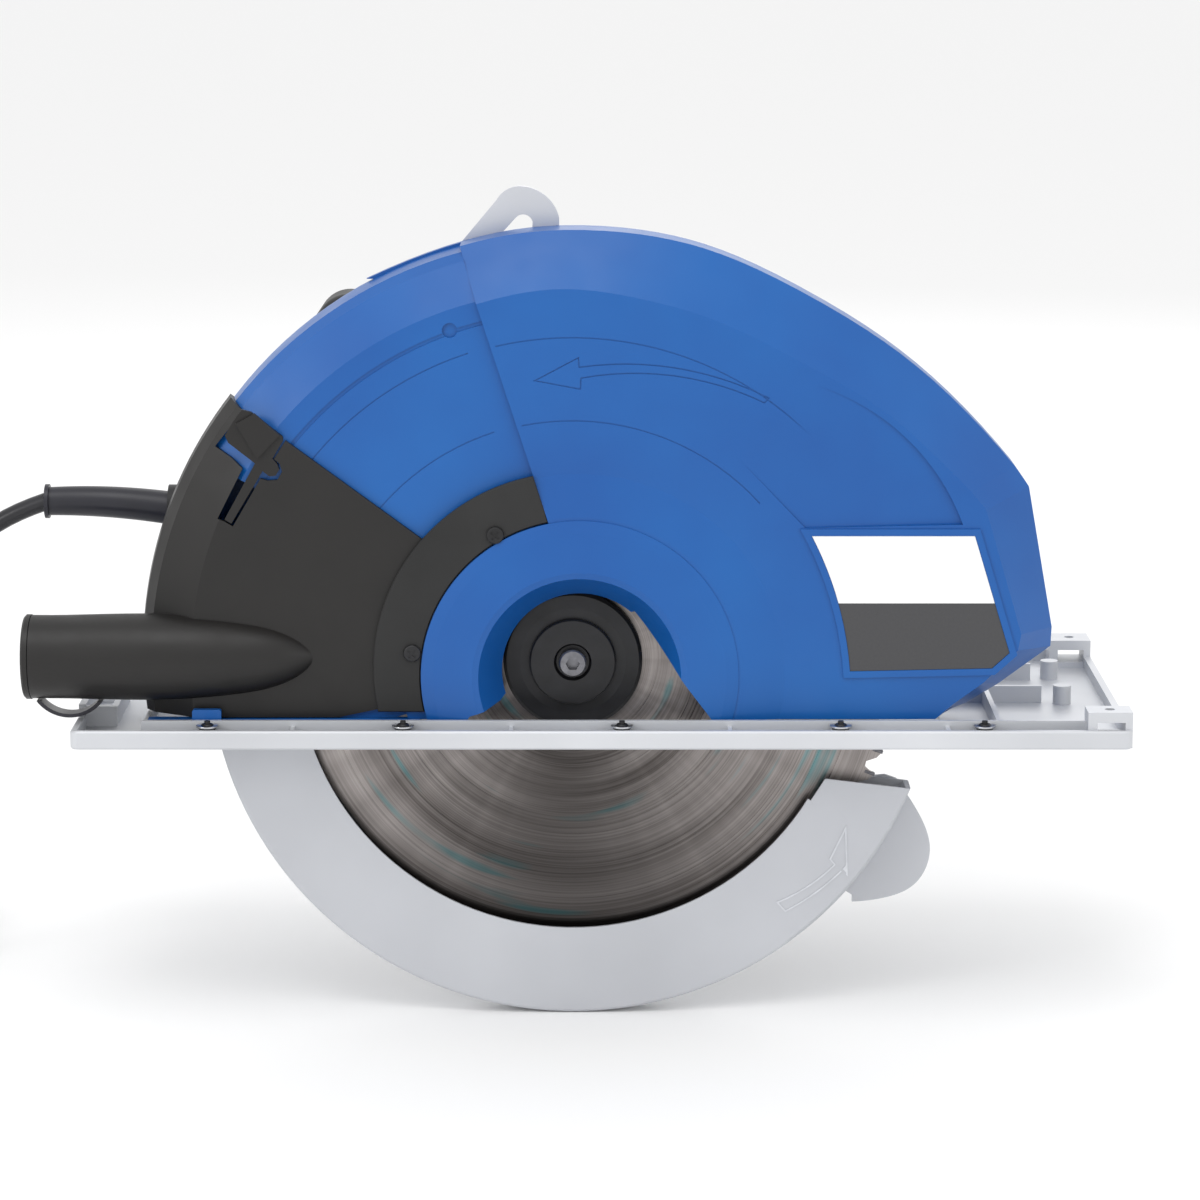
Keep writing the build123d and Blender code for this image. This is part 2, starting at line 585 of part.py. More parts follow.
EYE_Y = (CASE_Y[1] + 3.2, CASE_Y[1] + 0.2)
with BuildPart() as lifting_eye:
    with BuildSketch(facing(EYE_Y[0])) as eye:
        with BuildLine():
            Polyline((-72, 216), (-70, 196), (-14, 200), (-6.5, 222), (-6.5, 249))
            ThreePointArc((-6.5, 249), (-13.6, 260.2), (-25, 264.4))
            ThreePointArc((-25, 264.4), (-32, 262.6), (-37, 257.5))
            Line((-37, 257.5), (-72, 216))
        make_face()
        with BuildLine():
            Line((-46, 229), (-27.5, 249.2))
            ThreePointArc((-27.5, 249.2), (-22.8, 250.6), (-19.4, 247.2))
            Polyline((-19.4, 247.2), (-20.5, 228), (-46, 229))
        make_face(mode=Mode.SUBTRACT)
        with Locations((-58, 206), (-22, 208)):
            Circle(3.1, mode=Mode.SUBTRACT)
    extrude(amount=EYE_Y[0] - EYE_Y[1])
save(lifting_eye, "lifting_eye")

with BuildPart() as eye_bolts:
    for spot in ((-58, 206), (-22, 208)):
        with BuildSketch(facing(EYE_Y[0] + 4)):
            with Locations(spot):
                RegularPolygon(5.6, 6)
        extrude(amount=4)
save(eye_bolts, "eye_bolts")

LOCK_R, LOCK_ANGLE = 19.5, 200.0
LOCK = polar(LOCK_R, LOCK_ANGLE)
with BuildPart() as gear_housing:
    with BuildSketch(facing(GEARBOX_Y[1])):
        hull(HUBS)
    extrude(amount=GEARBOX_Y[1] - GEARBOX_Y[0])
    with BuildSketch(facing(GEARBOX_Y[1])):
        hull(HUBS_IN)
    extrude(amount=GEARBOX_Y[1] - GEARBOX_Y[0] - 4, mode=Mode.SUBTRACT)
    rod(GEARBOX_Y[0] + 4, 8.0, NECK_R)
    rod(GEARBOX_Y[0] + 4, 9.5, 21.02, mode=Mode.SUBTRACT)
    rod(GEARBOX_Y[0], 8.0, 14.0, mode=Mode.SUBTRACT)
    with Locations(Plane.XZ.offset(-GEARBOX_Y[1])):
        with Locations(*HUB_SCREWS):
            Cylinder(2.0, 12, align=(Align.CENTER, Align.CENTER, Align.MIN), mode=Mode.SUBTRACT)
    # front seat of the layshaft
    ring(GEARBOX_Y[0] + 6.6, GEARBOX_Y[0] + 4, 7.8, 6.0, (0, LAY_Z))
    # lugs bolted to the case
    for x in (-1, 1):
        rod(GEARBOX_Y[0] + 8, GEARBOX_Y[0], 6, (x * 40, 95))
        slab(((x * 28, 88), (x * 40, 89), (x * 40, 101), (x * 28, 104)), GEARBOX_Y[0] + 8,
             GEARBOX_Y[0])
        rod(GEARBOX_Y[0] + 8, GEARBOX_Y[0], 2.6, (x * 40, 95), mode=Mode.SUBTRACT)
save(gear_housing, "gear_housing")

ARM = ((-78, 62), (-78, 150), (-54, 150), (-24, 122), (-24, 50), (-54, 56))
HANDLE_SCREWS = ((-66, 76), (-66, 140), (-180, 90), (-112, 188), (-122, 70))
with BuildPart() as bearing_plate:
    with BuildSketch(facing(PLATE_Y[1])):
        hull(HUBS)
    extrude(amount=PLATE_Y[1] - PLATE_Y[0])
    rod(PLATE_Y[1], PLATE_Y[0], MOTOR_R, (0, MOTOR_Z))
    slab(ARM, PLATE_Y[1], PLATE_Y[0])
    ring(PLATE_Y[0], PLATE_Y[0] - 5, 16.8, 14.02)
    rod(PLATE_Y[0] + 3, PLATE_Y[0] - 5, 14.02, mode=Mode.SUBTRACT)
    ring(PLATE_Y[0], PLATE_Y[0] - 5, 8.5, 6.02, (0, LAY_Z))
    ring(PLATE_Y[1] + 5, PLATE_Y[1], 18, 15.02, (0, MOTOR_Z))
    rod(PLATE_Y[1], PLATE_Y[0] + 2, 15.02, (0, MOTOR_Z), mode=Mode.SUBTRACT)
    rod(PLATE_Y[1], PLATE_Y[0], 7, (0, MOTOR_Z), mode=Mode.SUBTRACT)
    rod(PLATE_Y[1], PLATE_Y[0], 2.58, LOCK, mode=Mode.SUBTRACT)
    for spot in HUB_SCREWS + HANDLE_SCREWS[:2]:
        rod(PLATE_Y[1], PLATE_Y[0], 2.1, spot, mode=Mode.SUBTRACT)
save(bearing_plate, "bearing_plate")

with BuildPart() as gearbox_screws:
    for spot in HUB_SCREWS:
        rod(PLATE_Y[1], GEARBOX_Y[1] - 10, 1.95, spot)
        rod(PLATE_Y[1] + 4, PLATE_Y[1], 3.6, spot)
    for x in (-40, 40):
        rod(GEARBOX_Y[0] + 8, CASE_Y[1] + 0.02, 2.5, (x, 95))
        rod(GEARBOX_Y[0] + 12, GEARBOX_Y[0] + 8, 4.2, (x, 95))
save(gearbox_screws, "gearbox_screws")


def race(y_far, y_near, outer, bore, centre):
    """Closed bearing: two races with a slimmer shielded middle."""
    wall = (outer - bore) * 0.28
    turned(((bore, y_near), (bore + wall, y_near), (bore + wall, y_near + 0.6),
            (outer - wall, y_near + 0.6), (outer - wall, y_near), (outer, y_near), (outer, y_far),
            (outer - wall, y_far), (outer - wall, y_far - 0.6), (bore + wall, y_far - 0.6),
            (bore + wall, y_far), (bore, y_far)), centre)


FIT = 0.03                 # radial running clearance
with BuildPart() as bearings:
    race(20.8, 9.6, 21, SPINDLE_R + FIT, (0, AXLE_Z))
    race(60.8, 53.2, 14, 6 + FIT, (0, AXLE_Z))
    race(23.5, 21.2, 5.98, 4 + FIT, (0, LAY_Z))
    race(57.9, 53.4, 6.0, 4 + FIT, (0, LAY_Z))
    race(68.5, 60.2, 15, 5 + FIT, (0, MOTOR_Z))
    race(198, 190.5, 11, 5 + FIT, (0, MOTOR_Z))
save(bearings, "bearings")


# ---------------------------------------------------------------- spindle and blade
with BuildPart() as spindle:
    rod(7.6, -0.9, ARBOR_R - 0.02)
    rod(52.5, 7.6, SPINDLE_R)
    rod(60.6, 52.5, 6)
    rod(20, -0.9, 5.0, mode=Mode.SUBTRACT)
save(spindle, "spindle")

with BuildPart() as spindle_gear:
    gear(40, 24, (0, AXLE_Z), 1.25, 39, phase=90)
    rod(46, 40, 14)
    rod(46, 24, SPINDLE_R, mode=Mode.SUBTRACT)
    for k in range(12):
        rod(46, 30, 2.9, polar(LOCK_R, LOCK_ANGLE + 30 * k), mode=Mode.SUBTRACT)
save(spindle_gear, "spindle_gear")

with BuildPart() as blade:
    points = []
    for k in range(TEETH):
        for share, radius in ((0.0, BLADE_R), (0.34, BLADE_R - 2.2), (0.62, BLADE_R - 6.4),
                              (0.86, BLADE_R - 6.0), (0.96, BLADE_R - 3.0)):
            points.append(polar(radius, -(k + share) * 360 / TEETH))
    slab(points, BLADE_T / 2, -BLADE_T / 2)
    rod(BLADE_T / 2, -BLADE_T / 2, ARBOR_R, mode=Mode.SUBTRACT)
save(blade, "blade")

with BuildPart() as inner_flange:
    turned(((ARBOR_R, BLADE_T / 2), (FLANGE_R - 3, BLADE_T / 2), (FLANGE_R, 2.6), (FLANGE_R, 5),
            (22, 7.2), (ARBOR_R, 7.2)))
save(inner_flange, "inner_flange")

FLANGE_FRONT = -8.6
with BuildPart() as outer_flange:
    turned(((5.3, -1.1), (FLANGE_R, -1.1), (FLANGE_R, -6.4), (FLANGE_R - 1.6, -7.8), (26, FLANGE_FRONT),
            (21.2, FLANGE_FRONT), (21.2, -10.8), (20.4, -11.6), (9.2, -11.6), (8.0, -9.4),
            (5.3, -9.4)))
save(outer_flange, "outer_flange")

with BuildPart() as blade_bolt:
    rod(18, -9.4, 4.95)
    rod(-9.4, -15.4, 6.7)
    chamfer(blade_bolt.faces().sort_by(Axis.Y)[0].edges(), 0.7)
    with BuildSketch(facing(-15.4)):
        with Locations((0, AXLE_Z)):
            RegularPolygon(3.46, 6)
    extrude(amount=-4, mode=Mode.SUBTRACT)
save(blade_bolt, "blade_bolt")

with BuildPart() as layshaft:
    rod(57.6, 21.4, 4.0, (0, LAY_Z))
    gear(42, 22.5 + 3.5, (0, LAY_Z), 1.25, 13, phase=-90 + 180 / 13)
    gear(51, 43, (0, LAY_Z), 1.0, 32, phase=90)
save(layshaft, "layshaft")

with BuildPart() as armature_shaft:
    rod(198, 58, 5.0, (0, MOTOR_Z))
    rod(58, 42.4, 3.4, (0, MOTOR_Z))
    gear(51, 43, (0, MOTOR_Z), 1.0, 10, phase=-90 + 18)
save(armature_shaft, "armature_shaft")


# ---------------------------------------------------------------- motor
with BuildPart() as armature_core:
    ring(145, 88, 22, 5, (0, MOTOR_Z))
    for k in range(12):
        rod(145, 88, 1.8, polar(21.2, 30 * k, (0, MOTOR_Z)), mode=Mode.SUBTRACT)
save(armature_core, "armature_core")

with BuildPart() as armature_windings:
    ring(156, 145, 18, 5, (0, MOTOR_Z))
    ring(88, 82, 18, 5, (0, MOTOR_Z))
save(armature_windings, "armature_windings")

with BuildPart() as commutator:
    ring(180, 160, 14, 5, (0, MOTOR_Z))
    for k in range(24):
        slab([polar(13.2, 15 * k - 1, (0, MOTOR_Z)), polar(15, 15 * k - 1, (0, MOTOR_Z)),
              polar(15, 15 * k + 1, (0, MOTOR_Z)), polar(13.2, 15 * k + 1, (0, MOTOR_Z))],
             180, 162, mode=Mode.SUBTRACT)
save(commutator, "commutator")

with BuildPart() as cooling_fan:
    ring(74, 71.5, 40, 5, (0, MOTOR_Z))
    ring(80, 71.5, 9, 5, (0, MOTOR_Z))
    for k in range(16):
        a = 22.5 * k
        slab([polar(16, a, (0, MOTOR_Z)), polar(39, a + 14, (0, MOTOR_Z)),
              polar(39, a + 17, (0, MOTOR_Z)), polar(16, a + 5, (0, MOTOR_Z))], 80, 74)
save(cooling_fan, "cooling_fan")

with BuildPart() as stator:
    ring(145, 88, 41, 23, (0, MOTOR_Z))
    for x in (-1, 1):
        slab([(x * 20, MOTOR_Z - 14), (x * 34, MOTOR_Z - 14), (x * 34, MOTOR_Z + 14),
              (x * 20, MOTOR_Z + 14)], 145, 88, mode=Mode.SUBTRACT)
save(stator, "stator")

with BuildPart() as field_coils:
    for x in (-1, 1):
        slab([(x * 24.5, MOTOR_Z - 12), (x * 32, MOTOR_Z - 12), (x * 32, MOTOR_Z + 12),
              (x * 24.5, MOTOR_Z + 12)], 152, 82, radius=2)
save(field_coils, "field_coils")

BRUSH_Y = 171.0
VENTS = 9
with BuildPart() as motor_housing:
    ring(MOTOR_Y[1], MOTOR_Y[0], MOTOR_R, 46.5, (0, MOTOR_Z))
    # carriers that hold the stator
    for angle in (45, 135, 225, 315):
        spots = [polar(r, angle + d, (0, MOTOR_Z)) for r, d in ((41.1, -4), (48, -3.4), (48, 3.4),
                                                              (41.1, 4))]
        slab(spots, 150, 84)
    # spider with the rear bearing seat
    ring(200, 190.2, 14.5, 11.02, (0, MOTOR_Z))
    for angle in (45, 135, 225, 315):
        spots = [polar(r, angle + d, (0, MOTOR_Z)) for r, d in ((13.5, -12), (47.5, -4), (47.5, 4),
                                                              (13.5, 12))]
        slab(spots, 200, 194)
    # holes for the brush caps, and outlet slots beside the fan
    for side in (-1, 1):
        with BuildSketch(Plane.YZ) as hole:
            with Locations((BRUSH_Y, MOTOR_Z)):
                Circle(8.05)
        extrude(hole.sketch, amount=60 * side, mode=Mode.SUBTRACT)
    for k in range(VENTS):
        angle = 15 + 150 * k / (VENTS - 1)
        spots = [polar(r, angle + d, (0, MOTOR_Z)) for r, d in ((44, -3), (56, -3), (56, 3), (44, 3))]
        slab(spots, 83, 69, mode=Mode.SUBTRACT)
save(motor_housing, "motor_housing")

with BuildPart() as motor_end_cap:
    turned(((46.3, 200.05), (MOTOR_R, 200.05), (MOTOR_R, 207), (45, 214), (0, 214), (0, 211.4),
            (43.6, 211.4), (46.3, 206)), (0, MOTOR_Z))
    for k in range(7):
        x = -30 + 10 * k
        half = 30 - abs(x) * 0.5
        slab([(x - 2.2, MOTOR_Z - half), (x + 2.2, MOTOR_Z - half), (x + 2.2, MOTOR_Z + half),
              (x - 2.2, MOTOR_Z + half)], 220, 205, radius=2, mode=Mode.SUBTRACT)
save(motor_end_cap, "motor_end_cap")

with BuildPart() as end_cap_screws:
    for angle in (45, 135, 225, 315):
        rod(216, 214.02, 3.4, polar(39.5, angle, (0, MOTOR_Z)))
save(end_cap_screws, "end_cap_screws")

with BuildPart() as carbon_brushes:
    for side in (-1, 1):
        x = sorted((side * 14.2, side * 33))
        block(x, (BRUSH_Y - 5, BRUSH_Y + 5), (MOTOR_Z - 3, MOTOR_Z + 3))
save(carbon_brushes, "carbon_brushes")

with BuildPart() as brush_caps:
    for side in (-1, 1):
        for start, length, radius in ((34, 10, 6.4), (44, 8.5, 8.0)):
            plane = Plane(origin=(side * start, BRUSH_Y, MOTOR_Z), z_dir=(side, 0, 0))
            with BuildSketch(plane) as disc:
                Circle(radius)
            extrude(disc.sketch, amount=length)
        slot = sorted((side * 51, side * 53))
        block(slot, (BRUSH_Y - 6, BRUSH_Y + 6), (MOTOR_Z - 0.9, MOTOR_Z + 0.9), mode=Mode.SUBTRACT)
save(brush_caps, "brush_caps")

with BuildPart() as brush_holders:
    for side in (-1, 1):
        x = sorted((side * 16.5, side * 33.8))
        block(x, (BRUSH_Y - 8, BRUSH_Y + 8), (MOTOR_Z - 6, MOTOR_Z + 6))
        block(x, (BRUSH_Y - 5.1, BRUSH_Y + 5.1), (MOTOR_Z - 3.1, MOTOR_Z + 3.1), mode=Mode.SUBTRACT)
save(brush_holders, "brush_holders")

# ---------------------------------------------------------------- lower guard
GUARD_END = ((117, -35), (124, -24), (165, -29), (230, -33))


def guard_sector(outer, inner):
    """Ring sector of the lower guard: below the front edge and the rear end."""
    with Locations((0, AXLE_Z)):
        Circle(outer)
        Circle(inner, mode=Mode.SUBTRACT)
    with BuildLine() as above:
        Polyline((0, AXLE_Z), *GUARD_END, (230, 260), (-60, 260), polar(260, GUARD_REAR), close=True)
    make_face(above.edges(), mode=Mode.SUBTRACT)


with BuildPart() as lower_guard:
    for y in (GUARD_HALF, -GUARD_HALF + SHEET):
        with BuildSketch(facing(y)):
            guard_sector(GUARD_R - 0.5, GUARD_IN)
        extrude(amount=SHEET)
    with BuildSketch(facing(GUARD_HALF)):
        guard_sector(GUARD_R, GUARD_R - 2.5)
    extrude(amount=2 * GUARD_HALF)
    # arm and hub on the motor side
    slab((polar(30, 128), polar(140, 147), polar(150, GUARD_REAR), polar(120, GUARD_REAR + 3),
          polar(30, 190)), 9.9, 8.4)
    rod(11.4, 8.4, 36)
    rod(12, 8, NECK_R + 0.06, mode=Mode.SUBTRACT)
    outer_edges = [e for e in lower_guard.edges().filter_by(GeomType.CIRCLE)
                   if abs(e.radius - GUARD_R) < 0.01]
    fillet(outer_edges, 1.6)
save(lower_guard, "lower_guard")

with BuildPart() as guard_fin:
    with BuildSketch(facing(GUARD_HALF + 2.6)):
        with BuildLine():
            Polyline((139, -88), (120, -76), (128, -29), (154.6, -26.5), (160.5, -28.6))
            Spline((160.5, -28.6), (171.5, -46), (177.5, -65), (170, -82.5), (156, -89.2),
                   (139, -91.5))
            Line((139, -91.5), (139, -88))
        make_face()
    extrude(amount=2.6)
save(guard_fin, "guard_fin")

with BuildPart() as guard_arrow:
    with BuildSketch(facing(-GUARD_HALF)):
        with BuildLine():
            ThreePointArc((100.3, -86.5), (116, -78), (128.6, -67.3))
            Polyline((128.6, -67.3), (126.4, -64.6), (134.6, -47.3), (135.6, -73.4), (132.9, -70.6))
            ThreePointArc((132.9, -70.6), (119.7, -82.2), (104.8, -91.6))
            Line((104.8, -91.6), (100.3, -86.5))
        make_face()
        offset(amount=-0.8, kind=Kind.INTERSECTION, mode=Mode.SUBTRACT)
    extrude(amount=0.4)
save(guard_arrow, "guard_arrow")

with BuildPart() as guard_retainer:
    ring(8.0, 7.6, 29, 20)
save(guard_retainer, "guard_retainer")

with BuildPart() as guard_spring:
    with BuildSketch(facing(14.7)):
        with BuildLine():
            turns = [polar(37.5 + 4.4 * k / 12, 30 * k) for k in range(37)]
            Spline(*turns)
            inner = [polar(37.5 + 4.4 * k / 12 + 1.2, 30 * k) for k in range(37)]
            Line(turns[-1], inner[-1])
            Spline(*inner[::-1])
            Line(inner[0], turns[0])
        make_face()
    extrude(amount=2.4)
save(guard_spring, "guard_spring")


# ---------------------------------------------------------------- main handle
GRIP_LOW, GRIP_HIGH = (-197.0, 94.0), (-119.0, 209.5)
HANDLE_OUT = ((-54, 46), (-160, 60), GRIP_LOW, GRIP_HIGH, (-92, 206), (-54, 170))
HANDLE_IN = ((-80, 76), (-157, 89), (-93, 176), (-80, 170))
grip_len = math.dist(GRIP_LOW, GRIP_HIGH)
grip_x, grip_z = ((GRIP_HIGH[0] - GRIP_LOW[0]) / grip_len, (GRIP_HIGH[1] - GRIP_LOW[1]) / grip_len)


def on_grip(distance, depth):
    """Point at a distance up the grip's back edge and a depth in from it."""
    return (GRIP_LOW[0] + grip_x * distance + grip_z * depth,
            GRIP_LOW[1] + grip_z * distance - grip_x * depth)


def handle_outline(y, wall=0.0):
    """Sketch of the closed handle at depth y, pulled in by a wall thickness."""
    with BuildSketch(facing(y)) as face:
        with BuildLine():
            Polyline(*HANDLE_OUT, close=True)
        make_face()
        fillet(face.vertices().sort_by(Axis.X)[:-2], 16)
        with BuildSketch(mode=Mode.SUBTRACT) as space:
            with BuildLine():
                Polyline(*HANDLE_IN, close=True)
            make_face()
            fillet(space.vertices(), 8)
            if wall:
                offset(amount=wall)
    return face.sketch


def handle_cavity(y, wall=2.6):
    """Sketch of the room inside the handle's shells."""
    with BuildSketch(facing(y)) as face:
        with BuildLine():
            Polyline(*HANDLE_OUT, close=True)
        make_face()
        fillet(face.vertices().sort_by(Axis.X)[:-2], 16)
        offset(amount=-wall)
        with BuildSketch(mode=Mode.SUBTRACT) as space:
            with BuildLine():
                Polyline(*HANDLE_IN, close=True)
            make_face()
            fillet(space.vertices(), 8)
            offset(amount=wall)
    return face.sketch


TRIGGER_AT = (82.0, 118.0)   # distances up the grip
TRIGGER_TRAVEL = 6.0
TRIGGER = (on_grip(TRIGGER_AT[0], 24), on_grip(TRIGGER_AT[0], 43), on_grip(TRIGGER_AT[0] + 6, 47),
           on_grip(TRIGGER_AT[1] - 10, 46), on_grip(TRIGGER_AT[1], 49), on_grip(TRIGGER_AT[1], 24))
TRIGGER_Y = (67.0, 53.0)
LOCK_OFF = on_grip(104, 14)
EXIT_Z = 100.0               # height at which the cord leaves the handle
SLEEVE_X = (-203.0, -263.0)


def handle_shell(near):
    """One of the two moulded halves of the main handle."""
    joint = HANDLE_Y[1]
    outer = HANDLE_Y[0] if near else HANDLE_Y[2]
    inward = 1 if near else -1
    with BuildPart() as shell:
        extrude(handle_outline(joint), amount=joint - outer)
        fillet(shell.faces().sort_by(Axis.Y)[0 if near else -1].edges(), 7)
        # half of the collar that holds the cord's sleeve
        with BuildSketch(Plane.YZ.offset(COLLAR_X)) as collar:
            with Locations((CORD_Y, EXIT_Z)):
                Circle(11)
            with Locations((CORD_Y + inward * 11, EXIT_Z)):
                Rectangle(22, 22, mode=Mode.SUBTRACT)
        extrude(collar.sketch, amount=20)
        extrude(handle_cavity(joint), amount=joint - outer - inward * 2.8, mode=Mode.SUBTRACT)
        for spot in HANDLE_SCREWS:
            ends = sorted((joint, outer + inward))
            rod(ends[1], ends[0], 5.0, spot)
            rod(HANDLE_Y[2] + 1, HANDLE_Y[0] - 1, 1.9, spot, mode=Mode.SUBTRACT)
        # seat of the bearing plate's arm, the trigger's window and the cord's way in
        slab(((-78.4, 61.6), (-78.4, 150.4), (-50, 150.4), (-50, 50)), PLATE_Y[1] + 0.1,
             PLATE_Y[0] - 0.1, mode=Mode.SUBTRACT)
        slab([on_grip(TRIGGER_AT[0] - 0.6, 20), on_grip(TRIGGER_AT[0] - 0.6, 60),
              on_grip(TRIGGER_AT[1] + 0.6, 60), on_grip(TRIGGER_AT[1] + 0.6, 20)],
             TRIGGER_Y[0] + 0.5, TRIGGER_Y[1] - 0.5, mode=Mode.SUBTRACT)
        with BuildSketch(Plane.YZ.offset(COLLAR_X - 1)) as way_in:
            with Locations((CORD_Y, EXIT_Z)):
                Circle(7.2)
        extrude(way_in.sketch, amount=24, mode=Mode.SUBTRACT)
        if not near:
            rod(90, 70, 5.3, LOCK_OFF, mode=Mode.SUBTRACT)
    return shell.part


COLLAR_X = SLEEVE_X[0]
with BuildPart() as handle_near:
    add(handle_shell(True))
save(handle_near, "handle_near")

with BuildPart() as handle_far:
    add(handle_shell(False))
save(handle_far, "handle_far")

with BuildPart() as handle_screws:
    for spot in HANDLE_SCREWS:
        rod(HANDLE_Y[2] - 6, HANDLE_Y[0] + 1.5, 1.85, spot)
        turned(((0, HANDLE_Y[0]), (3.6, HANDLE_Y[0]), (3.6, HANDLE_Y[0] - 1), (2.4, HANDLE_Y[0] - 2),
                (0, HANDLE_Y[0] - 2)), spot)
        rod(HANDLE_Y[0] + 1.5, HANDLE_Y[0], 1.85, spot)
save(handle_screws, "handle_screws")

with BuildPart() as switch_body:
    slab((on_grip(76, 5), on_grip(120, 5), on_grip(120, 17.4), on_grip(76, 17.4)), 67, 53)
save(switch_body, "switch_body")

with BuildPart() as trigger:
    slab(TRIGGER, *TRIGGER_Y)
    fillet(trigger.edges().filter_by(Axis.Y).group_by(Axis.X)[-1], 1)
save(trigger, "trigger")

with BuildPart() as lock_off_button:
    rod(82, 71, 5.0, LOCK_OFF)
    fillet(lock_off_button.faces().sort_by(Axis.Y)[-1].edges(), 1.2)
save(lock_off_button, "lock_off_button")

with BuildPart() as spindle_lock:
    rod(72, 42, 2.5, LOCK)
    rod(78, 71.5, 7.0, LOCK)
    chamfer(spindle_lock.faces().sort_by(Axis.Y)[-1].edges(), 1)
save(spindle_lock, "spindle_lock")

GRIP_SPOT = (112.0, 158.0)
with BuildPart() as front_handle:
    turned(((0, 21.2), (21, 21.2), (22.5, 23), (22.5, 25.5), (17.5, 29), (15.5, 36), (16.8, 60),
            (17.3, 85), (16.2, 112), (15.2, 130), (18.5, 136), (19.2, 140), (17.5, 144), (12, 146),
            (8, 146), (8, 139), (0, 139)), GRIP_SPOT)
save(front_handle, "front_handle")

with BuildPart() as front_handle_bolt:
    with BuildSketch(facing(144)):
        with Locations(GRIP_SPOT):
            RegularPolygon(6.4, 6)
    extrude(amount=4.9)
save(front_handle_bolt, "front_handle_bolt")


# ---------------------------------------------------------------- cord
SLEEVE = ((SLEEVE_X[0], 99.2, 8.4), (-233.0, 102.2, 7.8), (SLEEVE_X[1], 102.6, 7.1))
CORD = ((-265, 60, 102.4), (-287, 60, 95), (-312, 60.5, 73), (-325, 61, 35), (-329, 61.5, -12),
        (-330, 62, -62), (-336, 62.3, -97), (-352, 62.8, -123), (-378, 63.4, -137.4),
        (-404, 64, -138.5))

with BuildPart() as strain_relief:
    with BuildSketch(Plane.YZ.offset(COLLAR_X + 18)) as spigot:
        with Locations((CORD_Y, EXIT_Z)):
            Circle(6.8)
    extrude(spigot.sketch, amount=-18)
    rounds = []
    for x, z, radius in SLEEVE:
        with BuildSketch(Plane.YZ.offset(x)) as disc:
            with Locations((CORD_Y, z)):
                Circle(radius)
        rounds.append(disc.sketch.face())
    loft(rounds)
    with BuildSketch(Plane.YZ.offset(SLEEVE_X[1])) as lip:
        with Locations((CORD_Y, SLEEVE[-1][1])):
            Circle(8.6)
    extrude(lip.sketch, amount=-2)
save(strain_relief, "strain_relief")

corners = [Vector(*p) for p in CORD]
radii = []
for before, here, after in zip(corners, corners[1:], corners[2:]):
    shorter = min((here - before).length, (after - here).length)
    turn = (here - before).get_angle(after - here)
    radii.append(0.45 * shorter / math.tan(math.radians(turn / 2)))
print("cord radii", [round(r) for r in radii])

with BuildPart() as cord:
    with BuildLine() as route:
        FilletPolyline(*corners, radius=radii)
    with BuildSketch(Plane(origin=route.line @ 0, z_dir=route.line % 0)):
        Circle(CORD_R)
    sweep()
length = sum(edge.length for edge in route.line.edges())
print("cord tube", round(length), round(cord.part.volume / (math.pi * CORD_R ** 2)))
save(cord, "cord")

with BuildPart() as cord_coil:
    with BuildSketch(Plane.XY.offset(FLOOR_Z)):
        with Locations((COIL_X, COIL_Y)):
            Circle(COIL_OUT)
            Circle(COIL_IN, mode=Mode.SUBTRACT)
    extrude(amount=COIL_H)
save(cord_coil, "cord_coil")

PLUG_X, PLUG_Y = -384.0, COIL_Y - 52
PLUG_Z = FLOOR_Z + COIL_H + 18.6
plug_axis = Axis((PLUG_X, PLUG_Y, PLUG_Z), (-1, 0, 0))
with BuildPart() as plug:
    with BuildSketch(Plane(origin=(PLUG_X, PLUG_Y, PLUG_Z), x_dir=(-1, 0, 0), z_dir=(0, -1, 0))):
        with BuildLine():
            Polyline((0, 0), (0, 6.5), (14, 7.6), (21, 12), (29, 17.2), (33, 18.5), (48.5, 18.5),
                     (50, 17.5), (50, 0), close=True)
        make_face()
    revolve(axis=plug_axis)
save(plug, "plug")

with BuildPart() as plug_pins:
    with BuildSketch(Plane(origin=(PLUG_X - 50, PLUG_Y, PLUG_Z), x_dir=(0, 1, 0),
                           z_dir=(-1, 0, 0))):
        with Locations((-9.5, 0), (9.5, 0)):
            Circle(2.4)
    extrude(amount=19)
    chamfer(plug_pins.faces().sort_by(Axis.X)[0:2].edges(), 0.8)
save(plug_pins, "plug_pins")
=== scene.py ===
# %% [markdown]
# # A large hand-held circular saw
# The saw's solids, with their joints, come ready packed as a fixed frame, in metres: +X is the way
# of the cut, +Y goes from the blade to the motor, and +Z is up. This lesson gives each part its
# real finish, and adds the pieces that are too fine or too soft for the solid model: carbide tips,
# cross-head screws, washers and the mains cord.

# %% Load the frame
import bpy
import math
from mathutils import Matrix, Vector


